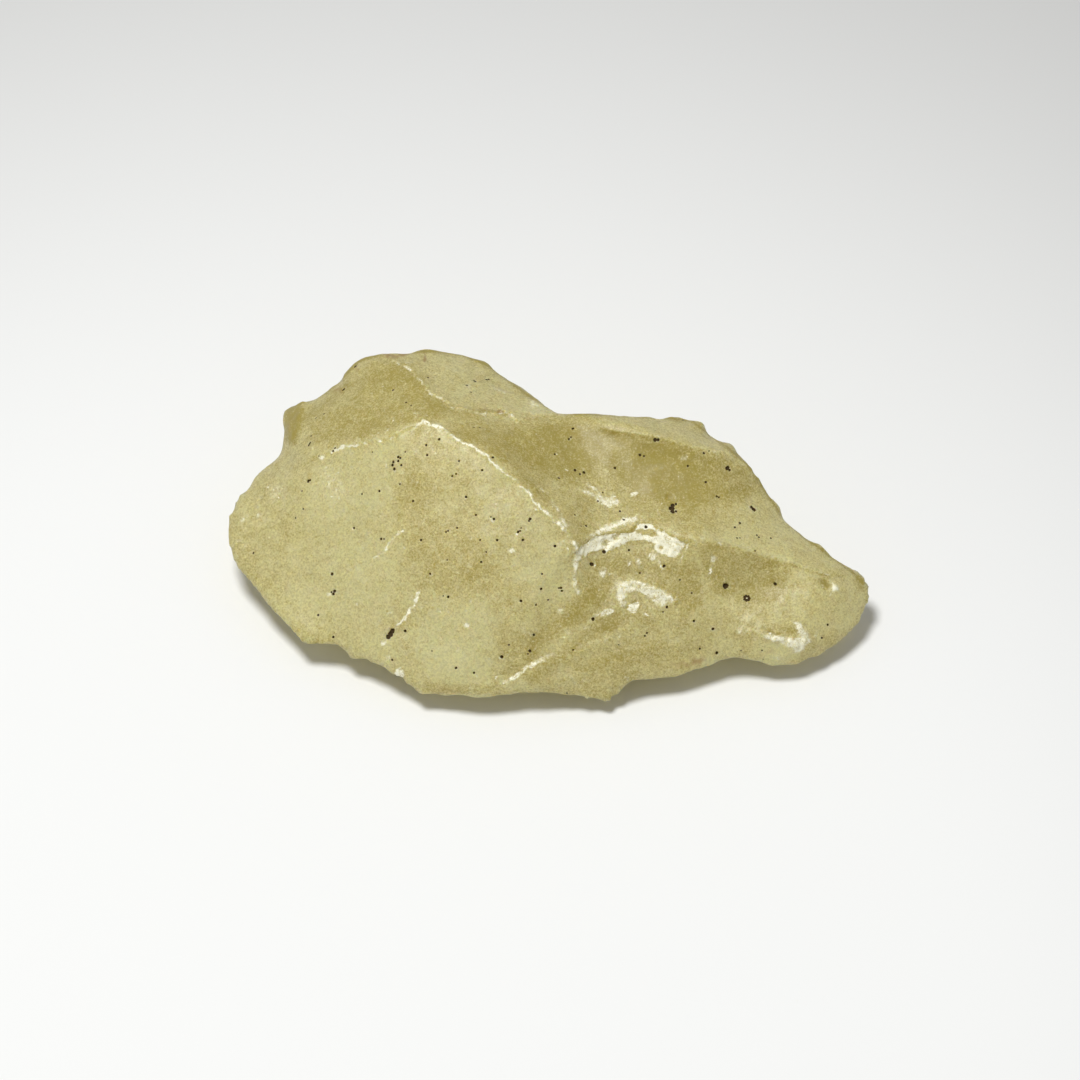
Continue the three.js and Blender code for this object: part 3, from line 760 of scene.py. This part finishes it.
# %% Add up the carving
CRESTS = [  # a line, its half width in pixels, its height in millimetres, and how crumbly it is
    (LONG_RIDGE, 2.6, 0.08, 0.5), (RIDGE_FOOT, 3, 0.07, 0.5), (LEDGE, 2, 0.03, 0.5),
    (UPPER_CREST, 3, 0.05, 0.5), (BACK_CREST, 3, 0.04, 0.5), (SNOUT_STEP, 5, 0.08, 0.2),
    (SCAR_END, 1.5, 0.05, 0.2), (INNER_RIPPLE, 5, 0.14, 0.6), (LOW_SCAR, 2.5, -0.06, 0.8),
    (SNOUT_FOLD, 4, 0.14, 0.5), (FOLD_SLIT, 2, -0.05, 0.3), (NUB_EDGE, 4, 0.08, 0.5),
    *[(line, 6, 0.09, 0.1) for line in OUTER_RIPPLES], *[(line, 1.4, -0.02, 0.6) for line in OLD_CRACKS],
]
STEPS = [  # a line, how far the step reaches in pixels, its height in millimetres, and how soft it is
    (LEDGE, 14, 0.13, 1.5), (UPPER_CREST, 12, 0.10, 1.5), (SADDLE, 10, 0.14, 1.5),
    (BACK_CREST, 10, 0.08, 1.5), (SNOUT_EDGE, 14, 0.16, 2), (SCAR_STEP, 14, 0.12, 1.5),
    (SCAR_END, 10, 0.12, 1.5), (LOW_SCAR, 12, -0.14, 1.5),
]
SWELLS = [  # a spot, its half width and half height in pixels, and millimetres outwards
    (645, 602, 14, 6, -0.12), (835, 588, 5, 4, 0.12), (780, 628, 14, 4, -0.03),
]
RIM_NUDGES = [  # a spot of the rim, how far the nudge reaches in pixels, and millimetres outwards
    (310, 644, 10, 0.42), (380, 668, 7, -0.2), (398, 679, 4, -0.3), (422, 694, 8, 0.2), (606, 700, 9, 0.65),
    (620, 693, 6, 0.35), (633, 684, 5, -0.2), (692, 672, 7, -0.2), (730, 663, 12, -0.05), (772, 665, 9, 0.2),
    (820, 654, 10, 0.2), (858, 620, 12, 0.3), (864, 592, 16, 0.3), (860, 575, 10, 0.2), (700, 426, 8, 0.4),
    (730, 447, 8, 0.3), (778, 508, 12, 0.5), (820, 549, 12, 0.45), (486, 363, 10, 0.25), (425, 350, 14, 0.2),
    (648, 417, 10, 0.25), (672, 416, 8, 0.2), (340, 380, 8, -0.25), (234, 505, 8, -0.3),
    (338, 644, 4, -0.15), (352, 656, 7, 0.25), (366, 663, 4, -0.12), (546, 696, 8, -0.1), (566, 696, 6, 0.1),
    (446, 697, 9, 0.25), (500, 697, 9, -0.1),
]
DENTS = [  # the size of the lumps and their height, both in millimetres, and a seed
    (2.3, 0.05, 3), (0.8, 0.028, 4), (0.35, 0.01, 1),
]
FLAT_FADE = 0.5 * MM  # how far above the floor the carving has all its depth

places = corners_of(stone.data)
normals = corners_of(stone.data, "normal")
spots = pixels_of(places)
seen = seen_by_camera(stone.data)
crumbs = grain(places, 0.35 * MM, 1)
lumps = grain(places, 1.1 * MM, 2)
lift = np.zeros(len(places))
for line, width, height, crumble in CRESTS:
    lift += near_line(spots, line, width) * height * (1 + crumble * crumbs + 0.4 * lumps)
for line, width, height, soft in STEPS:
    away, side = from_line(spots, line)
    lift += height * (step_up(away * side, -soft, soft) - 0.5) * np.exp(-((away / width) ** 2))
for x, y, wide, high, amount in SWELLS:
    lift += amount * in_oval(spots, x, y, wide, high)
lift += crushed_and_highlight * (0.035 + 0.05 * crumbs)
lift *= seen

edge_on = np.exp(-(((normals @ AHEAD) / 0.45) ** 2))
for x, y, reach, amount in RIM_NUDGES:
    lift += amount * in_oval(spots, x, y, reach, reach) * edge_on

for size, height, seed in DENTS:
    lift += height * grain(places, size * MM, seed)
hidden = step_up(normals @ AHEAD, 0.15, 0.55)
hollows = 0.14 * grain(places, 3.4 * MM, 11) + 0.035 * grain(places, 1.1 * MM, 13)
creases = 0.10 * np.abs(grain(places, 2.1 * MM, 12))
lift += hidden * (hollows - creases)
lift *= step_up(places[:, 2], 0.0, FLAT_FADE)
carved = places + normals * lift[:, None] * MM
stone.data.vertices.foreach_set("co", carved.ravel())
stone.data.update()
print("carved from", round(lift.min(), 2), "to", round(lift.max(), 2), "mm")

# %% [markdown]
# ## Sinking the pits
#
# A second tree sinks the pits. Each point of the skin looks up the nearest pit, measures how far off it is
# in that pit's radius, and moves inwards in the bowl and a little outwards on its rim. The distance is
# shaken by noise, so that no pit is a perfect circle. The tree also keeps two numbers for each point: how
# dark the bowl of a pit is painted there, and whether it is on the rim of a pit, which is painted white as
# crushed glass with a painted highlight.

# %% A tree that sinks pits
net, given = geometry_tree(
    "sunk pits",
    {
        "Pits": "Object",
        "Depth in radii": "Float",
        "Raggedness": "Float",
        "Material": "Material",
    },
)
own_space = {"transform_space": "ORIGINAL"}
pits = net.add("GeometryNodeObjectInfo", own_space, {"Object": given["Pits"]}, "Geometry")
here = net.add("GeometryNodeInputPosition")
nearest = net.add("GeometryNodeSampleNearest", {"domain": "POINT"}, {"Geometry": pits})


def of_nearest(kind, value):
    """A value of the nearest pit."""
    settings = {"data_type": kind, "domain": "POINT"}
    return net.add("GeometryNodeSampleIndex", settings, {"Geometry": pits, "Value": value, "Index": nearest})


def stored(name):
    return net.add("GeometryNodeInputNamedAttribute", {"data_type": "FLOAT"}, {"Name": name})


centre = of_nearest("FLOAT_VECTOR", here)
size = of_nearest("FLOAT", stored("pit_radius"))
dark = of_nearest("FLOAT", stored("pit_dark"))
apart = net.distance(here, centre)
shake = net.add("ShaderNodeTexNoise", None, {"Vector": here, "Scale": 5200.0, "Detail": 1.0}, "Fac")
radii_off = apart / size * (1 + given["Raggedness"] * (shake - 0.5))
bowl = 1 - net.ramp(radii_off, 0.35, 1.1)
rim = net.ramp(radii_off, 0.85, 1.15) * (1 - net.ramp(radii_off, 1.2, 1.9))
normal = net.add("GeometryNodeInputNormal")
depth = (rim * 0.08 - bowl) * size * given["Depth in radii"] * (0.25 + 0.75 * dark)
inwards = net.add("ShaderNodeVectorMath", {"operation": "SCALE"}, {0: normal, "Scale": depth})
sunk = given["Geometry"]
for name, value in (("pit", bowl * dark), ("rim", rim)):
    sunk = store(sunk, name, value)
sunk = net.add("GeometryNodeSetPosition", None, {"Geometry": sunk, "Offset": inwards})
end_tree(net, sunk, given["Material"])

marks = bpy.data.meshes.new("pit marks")
marks.from_pydata(pit_places.tolist(), [], [])
for name, values in (("pit_radius", pit_radii), ("pit_dark", pit_darks)):
    marks.attributes.new(name, "FLOAT", "POINT").data.foreach_set("value", values)
pit_marks = in_scene("pit_marks", marks)
shape_of_pits = {"Pits": pit_marks, "Depth in radii": 0.9, "Raggedness": 0.75, "Material": frosted_glass}
run_tree(stone, net, shape_of_pits)
bpy.data.objects.remove(pit_marks)
for face in stone.data.polygons:
    face.use_smooth = True
print("stone:", triangles_in(stone.data), "triangles")

# %% [markdown]
# ## Where the glass is pale, deep, crushed or stained, and where light and shade are painted
#
# Old faces are frosted and pale, younger scars show the olive body, fresh bruises are crushed white, with
# painted white highlights among them, and iron has stained a few places, mostly on the rim. The pale and
# deep numbers also hold painted light and shade: painted highlights, painted shade in hollows, creases and
# on faces turned from the lamp, and the painted glow of thin glass. Each of these is a number for each
# point, kept on the mesh as an attribute, which the material reads.

# %% Pale and deep areas of the photograph, with painted light and shade
TONES_AND_PAINTED_LIGHT = [  # an area, the softness of its edge, and how pale (above 0) or deep (below 0) it is
    ([(325, 452), (345, 449), (380, 441), (405, 440), (400, 480), (380, 510), (340, 530), (305, 520),
      (300, 480)], 18, 0.5),
    # Painted light on the band along the snout's edge, which faces up to the lamp.
    ([(695, 539), (705, 542), (720, 544), (735, 547), (757, 555), (780, 561), (812, 571), (838, 576),
      (855, 566), (820, 545), (790, 530), (772, 520), (740, 528), (715, 533)], 3, 0.18),
    # Painted shade in the overhung hollow below that band.
    ([(697, 546), (720, 545), (735, 548), (757, 556), (788, 564), (787, 590), (775, 602), (745, 605),
      (712, 590)], 3, -0.45),
    # Painted glow of light coming through the thin tip of the snout.
    ([(792, 566), (838, 577), (858, 575), (866, 600), (850, 630), (815, 635), (795, 620), (786, 600)],
      5, 0.4),
    ([(853, 577), (863, 577), (866, 592), (856, 590)], 2.5, -0.5),
    # A pale frosted band behind the far crest, with painted light where it faces up.
    ([(590, 418), (660, 420), (690, 418), (722, 441), (740, 456), (759, 482), (742, 463), (730, 455),
      (700, 450), (670, 441), (640, 435), (610, 431)], 2, 0.15),
    ([(612, 434), (640, 438), (670, 444), (700, 453), (730, 458), (748, 474), (765, 492), (740, 500),
      (690, 505), (640, 500), (610, 470)], 9, -0.55),
    ([(450, 432), (490, 424), (530, 422), (600, 422), (612, 460), (570, 482), (540, 472), (510, 458)],
      10, -0.65),
    ([(590, 560), (600, 556), (650, 552), (655, 560), (680, 566), (700, 560), (705, 600), (680, 622),
      (676, 598), (640, 576), (616, 584), (600, 604), (584, 604)], 5, -0.35),
    ([(478, 470), (500, 478), (530, 505), (562, 535), (568, 585), (540, 600), (500, 570), (480, 520)],
      16, 0.25),
    # Painted light on a low flute of the front face.
    ([(430, 600), (490, 605), (496, 660), (475, 684), (445, 684), (425, 650)], 14, 0.5),
    ([(430, 352), (470, 355), (500, 375), (545, 410), (520, 415), (480, 408), (450, 396), (425, 372)],
      8, 0.08),
    # Painted shade on the side of the upper lump above the ledge, away from the lamp.
    ([(330, 395), (380, 360), (396, 365), (425, 392), (445, 408), (430, 418), (405, 426), (380, 434),
      (330, 446), (305, 440), (305, 410)], 7, -0.42),
    # Painted glow of light coming through the thin left end.
    ([(233, 500), (262, 475), (300, 470), (290, 520), (270, 570), (240, 560)], 14, 0.15),
    ([(520, 668), (560, 640), (590, 645), (640, 640), (700, 650), (690, 670), (640, 680), (610, 698),
      (540, 694)], 9, -0.4),
    ([(415, 680), (490, 684), (500, 694), (425, 694)], 4, -0.4),
    ([(690, 640), (750, 645), (770, 660), (700, 664)], 6, -0.3),
    # Painted shade on the nub's face that turns away from the lamp.
    ([(284, 405), (299, 400), (303, 412), (296, 445), (284, 440)], 5, -1.1),
    # Painted light on the crest between two ripples.
    ([(575, 625), (600, 628), (560, 650), (545, 648)], 6, 0.3),
    ([(760, 605), (790, 600), (796, 625), (770, 622)], 5, 0.25),
    ([(526, 402), (540, 400), (552, 412), (530, 416)], 3, 0.5),
    ([(460, 540), (500, 545), (490, 585), (450, 575)], 14, -0.15),
    ([(405, 480), (470, 475), (510, 540), (500, 600), (440, 590), (400, 540)], 16, -0.15),
    # Painted shade on a low flute of the front face.
    ([(480, 640), (515, 640), (520, 670), (495, 688)], 8, -0.2),
    ([(560, 610), (700, 600), (720, 650), (600, 668)], 10, -0.15),
    # Painted light on the low front, which slopes away from the lamp.
    ([(290, 540), (400, 530), (440, 600), (490, 620), (490, 680), (430, 680), (400, 670), (340, 640),
      (270, 590)], 20, 0.35),
    ([(420, 470), (480, 460), (560, 540), (570, 600), (500, 640), (430, 600)], 20, 0.22),
    ([(510, 690), (560, 635), (700, 635), (800, 650), (780, 668), (690, 680), (600, 700)], 12, 0.45),
    ([(600, 425), (680, 450), (700, 490), (690, 520), (620, 500)], 12, -0.2),
]
TONE_AND_PAINTED_LIGHT_LINES = [  # a line, its half width, and how pale or deep it is
    # This and the next two: painted shade in the troughs of the ripples.
    ([(592, 598), (575, 615), (555, 632), (532, 648)], 8, -0.6),
    ([(625, 618), (590, 634), (562, 655), (530, 680)], 6, -0.5),
    ([(655, 640), (620, 655), (585, 668)], 5, -0.3),
    # Painted shade on the side of the upper crest that faces away from the lamp.
    ([(402, 366), (414, 378), (428, 396), (450, 409), (480, 417)], 6, -0.45),
    # Painted shadow along the upper edge of the scar.
    ([(600, 536), (615, 534), (631, 531), (634, 527)], 2, -0.9),
    # The first: painted shade above the fold at the snout.
    ([(767, 629), (780, 627), (793, 630)], 4, -0.4), (FAR_RIM, 1.7, -1.2),
    ([(788, 564), (800, 568), (812, 572), (825, 575), (838, 576)], 1.2, -0.6),
    # Painted highlight below the fold, and painted shade in its slit.
    ([(770, 645), (798, 650)], 6, 0.4), (FOLD_SLIT[1:4], 1.2, -0.9),
    ([(627, 608), (631, 604), (635, 601)], 1.2, -1),
    ([(497, 466), (520, 482), (540, 505), (560, 522)], 7, 0.2),
    ([(445, 434), (470, 447), (490, 462), (520, 492), (545, 520)], 9, 0.3),
    ([(480, 410), (495, 412), (506, 415)], 1.6, -0.9), ([(520, 693), (545, 693)], 1.2, -1.5),
    ([(420, 694), (440, 697), (480, 697), (490, 694)], 1.8, 0.7), ([(672, 513), (672, 530)], 3, 0.3),
    # The first: painted shade in the small hollow at the snout.
    ([(822, 581), (827, 586)], 3.6, -1.1), ([(700, 660), (740, 664), (790, 668)], 2.5, 0.3),
    ([(458, 433), (500, 455), (530, 485), (548, 505)], 5, -0.3),
    ([(795, 668), (820, 656), (850, 632)], 3, -0.3),
]
STAINS = [  # a spot, its half width and half height, and how brown it is
    (403, 354, 5, 3, 1.3), (390, 356, 9, 2.5, 1.1), (425, 358, 1.8, 4, 1.6), (338, 390, 8, 5, 0.6),
    (358, 368, 5, 7, 0.5), (680, 665, 26, 5, 0.5), (698, 660, 8, 5, 0.6), (288, 425, 4, 18, 0.4),
    (500, 412, 7, 2, 0.9), (770, 652, 16, 3.5, 0.5), (648, 522, 16, 6, 0.35), (770, 592, 14, 8, 0.3),
    (400, 680, 8, 8, 0.5), (575, 697, 16, 2, 0.6), (738, 455, 2, 2, 0.7), (650, 450, 24, 10, 0.3),
    (510, 390, 12, 4, 0.25), (520, 460, 14, 3, 0.2), (790, 540, 16, 3, 0.35), (745, 500, 20, 20, 0.15),
]

places = corners_of(stone.data)
spots = pixels_of(places)
seen = seen_by_camera(stone.data)
rough_spots = shaken(spots, places)
crumbs = grain(places, 0.3 * MM, 1)
tone_and_painted_light = 0.20 * grain(places, 6.5 * MM, 5) + 0.16 * grain(places, 2.0 * MM, 6)
for area, soft, share in TONES_AND_PAINTED_LIGHT:
    tone_and_painted_light += share * in_area(rough_spots, area, soft) * seen
for line, width, share in TONE_AND_PAINTED_LIGHT_LINES:
    tone_and_painted_light += share * near_line(spots, line, width) * seen
stain = np.clip(grain(places, 5 * MM, 8) - 0.75, 0, 1) * (1 - seen)
for x, y, wide, high, share in STAINS:
    stain += share * in_oval(rough_spots, x, y, wide, high) * seen * (0.7 + 0.5 * crumbs)
crushed_and_highlight = crushed_and_highlight_share(stone.data, seen) * (0.9 + 0.35 * crumbs)
ground_ridges = grain(places, 1.2 * MM, 9) + 0.5 * grain(places, 0.4 * MM, 10)
crushed_and_highlight += np.clip(ground_ridges * 1.6 - 1.7, 0, 0.7) * (1 - seen)


def keep(name, values, low, high):
    """Keeps a number for each point on the mesh, moved to the range from 0 to 1."""
    scaled = np.clip((values - low) / (high - low), 0, 1)
    stone.data.attributes.new(name, "FLOAT", "POINT").data.foreach_set("value", scaled)


# pale holds the glass's own tone together with painted light and shade.
keep("pale", tone_and_painted_light, -1.25, 1.25)
keep("stain", stain, 0, 1)
keep("crushed_and_highlight", crushed_and_highlight, 0, 1.25)
print("points of crushed glass:", int((crushed_and_highlight > 0.5).sum()), "stained points:", int((stain > 0.3).sum()))

# %% [markdown]
# ## The glass
#
# Desert glass is see-through but cloudy. The first of two shaders lets half of the light through, blurred
# by the roughness of the skin, and scatters the rest just below it. A plain absorption tints the light by
# the way that it goes inside. The second shader is an opaque crust: a thin share of frost everywhere,
# white crushed glass and painted white highlights where the marks are, in small flecks, crushed glass with a
# painted highlight on the rims of pits, and pits painted nearly black. The colours of both also carry the
# painted light and shade of the pale numbers. Colour, roughness, relief and the share of the crust change
# over the surface, and fine noise breaks them up.

# %% Mix the glass
DEEP_OLIVE = (0.55, 0.455, 0.10, 1.0)
PALE_STRAW = (0.995, 0.93, 0.54, 1.0)
FROST_OVER_DEEP = (0.34, 0.28, 0.08, 1.0)
FROST_DULL = (0.40, 0.34, 0.13, 1.0)
FROST_BRIGHT = (0.90, 0.81, 0.39, 1.0)
CRUSHED_AND_HIGHLIGHT_WHITE = (0.97, 0.95, 0.74, 1.0)
RUST = (0.40, 0.22, 0.07, 1.0)
# The near black painted into the bowls of the deeper pits.
PIT_BLACK = (0.055, 0.034, 0.009, 1.0)
TINT = (0.965, 0.93, 0.30, 1.0)
TINT_DENSITY = 170.0
GLASS_IOR = 1.46
SCATTERING = {"Subsurface Weight": 1.0, "Subsurface Radius": (1.0, 0.85, 0.4), "Subsurface Scale": 1.3 * MM}
FROST_SHARE = 0.26
CRUSHED_AND_HIGHLIGHT_SHARE = 0.66


def emptied(material):
    """The emptied node tree of a material, and a wire with the places on its object."""
    material.use_nodes = True
    material.node_tree.nodes.clear()
    net = Net(material.node_tree)
    return net, net.add("ShaderNodeTexCoord", out="Object")


net, coordinates = emptied(frosted_glass)


def lumps_of(size, detail=2.0, roughness=0.5):
    """Noise with lumps of one size on the stone."""
    sockets = {"Vector": coordinates, "Scale": 1 / size, "Detail": detail, "Roughness": roughness}
    return net.add("ShaderNodeTexNoise", None, sockets, "Fac")


def kept(name):
    return net.add("ShaderNodeAttribute", {"attribute_name": name}, out="Fac")


grit = lumps_of(0.13 * MM, 2.0, 0.8)
mottle = lumps_of(0.8 * MM, 3.0, 0.6)
flecks = net.ramp(lumps_of(0.26 * MM, 1.0), 0.67, 0.78)
clouds = lumps_of(0.38 * MM, 2.0, 0.6)
# The glass's own pale and deep tones, with the painted light and shade of the pale numbers.
pale = net.ramp(kept("pale") + 0.45 * (mottle - 0.5) + 0.5 * (clouds - 0.5) + 1.6 * (grit - 0.5), 0.02, 0.84)
stained = net.ramp(kept("stain") * (0.5 + grit), 0.1, 0.9) * 0.75
body = net.blend(stained, net.blend(pale, DEEP_OLIVE, PALE_STRAW), RUST)
speckle = net.ramp(lumps_of(0.17 * MM, 2.0, 0.7), 0.36, 0.64)
frost_over_pale = net.blend(speckle, FROST_DULL, FROST_BRIGHT)
frost = net.blend(stained, net.blend(pale, FROST_OVER_DEEP, frost_over_pale), RUST)
crumble = lumps_of(0.10 * MM, 2.0, 0.7)
# White crushed glass and painted highlights from the marks, crushed glass with a painted highlight on the
# rims of pits, and small white flecks.
crushed_and_highlight = net.ramp(kept("crushed_and_highlight") * (3.4 * crumble - 0.7) + 0.16 * kept("rim") + 0.50 * flecks, 0.1, 0.8)
# The bowls of the deeper pits, painted nearly black.
pit_blackness = net.ramp(kept("pit") * (0.8 + 0.5 * grit), 0.2, 0.5)
roughness = 0.46 + 0.25 * (grit - 0.5)
relief = 0.6 * grit + 0.4 * mottle
bump = net.add("ShaderNodeBump", None, {"Strength": 0.6, "Distance": 0.03 * MM, "Height": relief})
cloudy = net.add(
    "ShaderNodeBsdfPrincipled",
    {"subsurface_method": "RANDOM_WALK"},
    {
        "Base Color": body,
        "Roughness": roughness,
        "IOR": GLASS_IOR,
        "Transmission Weight": 0.5,
        "Normal": bump,
        **SCATTERING,
    },
)
crust = net.add(
    "ShaderNodeBsdfPrincipled",
    None,
    {
        "Base Color": net.blend(pit_blackness, net.blend(crushed_and_highlight, frost, CRUSHED_AND_HIGHLIGHT_WHITE), PIT_BLACK),
        "Roughness": 0.45 + 0.5 * pit_blackness,
        "IOR": GLASS_IOR,
        "Normal": bump,
    },
)
crusted = (FROST_SHARE + CRUSHED_AND_HIGHLIGHT_SHARE * crushed_and_highlight) * (1 - pit_blackness) + pit_blackness
mixed = net.add("ShaderNodeMixShader", None, {"Fac": crusted, 1: cloudy, 2: crust})
absorb = net.add("ShaderNodeVolumeAbsorption", None, {"Color": TINT, "Density": TINT_DENSITY})
net.add("ShaderNodeOutputMaterial", None, {"Surface": mixed, "Volume": absorb})
stone.data.materials.clear()
stone.data.materials.append(frosted_glass)
print("glass mixed with", len(net.tree.nodes), "nodes")

# %% [markdown]
# ## The floor and the light
#
# The stone lies on a plain pale sheet, painted with a pool of light: brightest just in front of the stone's
# left half, and painted darker away from there. One broad lamp above, a little to the front and to the left,
# makes the narrow soft shadow under the rim. A pale sky fills in the rest.

# %% Lay the floor and light the stone
SHEET = (0.86, 0.866, 0.853, 1.0)
SHEET_FAR_PAINTED_SHADE = (0.50, 0.50, 0.49, 1.0)
SHEET_HALF = 1.0
PAINTED_LIGHT_CENTRE = (-0.015, -0.035, 0)
FADE_STARTS = 0.04
FADE_ENDS = 0.135
LAMP_PLACE = Vector((-0.10, -0.055, 0.54))
LAMP_SIZE = 0.15
LAMP_POWER = 2.42
SKY_STRENGTH = 0.315

sheet = bpy.data.meshes.new("sheet")
ends = (-SHEET_HALF, SHEET_HALF)
sheet.from_pydata([(x, y, 0) for y in ends for x in ends], [], [(0, 1, 3, 2)])
floor = in_scene("floor", sheet)
paper = bpy.data.materials.new("plain sheet")
net, coordinates = emptied(paper)
# A painted pool of light: the sheet is painted darker away from one place.
painted_light_falloff = net.ramp(net.distance(coordinates, PAINTED_LIGHT_CENTRE), FADE_STARTS, FADE_ENDS)
colour = net.blend(painted_light_falloff, SHEET, SHEET_FAR_PAINTED_SHADE)
plain = net.add("ShaderNodeBsdfPrincipled", None, {"Base Color": colour, "Roughness": 0.8})
net.add("ShaderNodeOutputMaterial", None, {"Surface": plain})
sheet.materials.append(paper)

lamp = in_scene("lamp over the stone", bpy.data.lights.new("lamp over the stone", "AREA"))
lamp.data.shape = "DISK"
lamp.data.size = LAMP_SIZE
lamp.data.energy = LAMP_POWER
lamp.location = LAMP_PLACE
lamp.rotation_euler = (-LAMP_PLACE).to_track_quat("-Z", "Y").to_euler()
sky = bpy.data.worlds.new("pale sky")
sky.use_nodes = True
background = sky.node_tree.nodes["Background"]
background.inputs["Color"].default_value = (1, 1, 1, 1)
background.inputs["Strength"].default_value = SKY_STRENGTH
bpy.context.scene.world = sky
bpy.context.scene.view_settings.view_transform = "Standard"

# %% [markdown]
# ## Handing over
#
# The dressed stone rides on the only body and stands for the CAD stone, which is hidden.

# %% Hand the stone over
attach(stone, "root")
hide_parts(STONE)
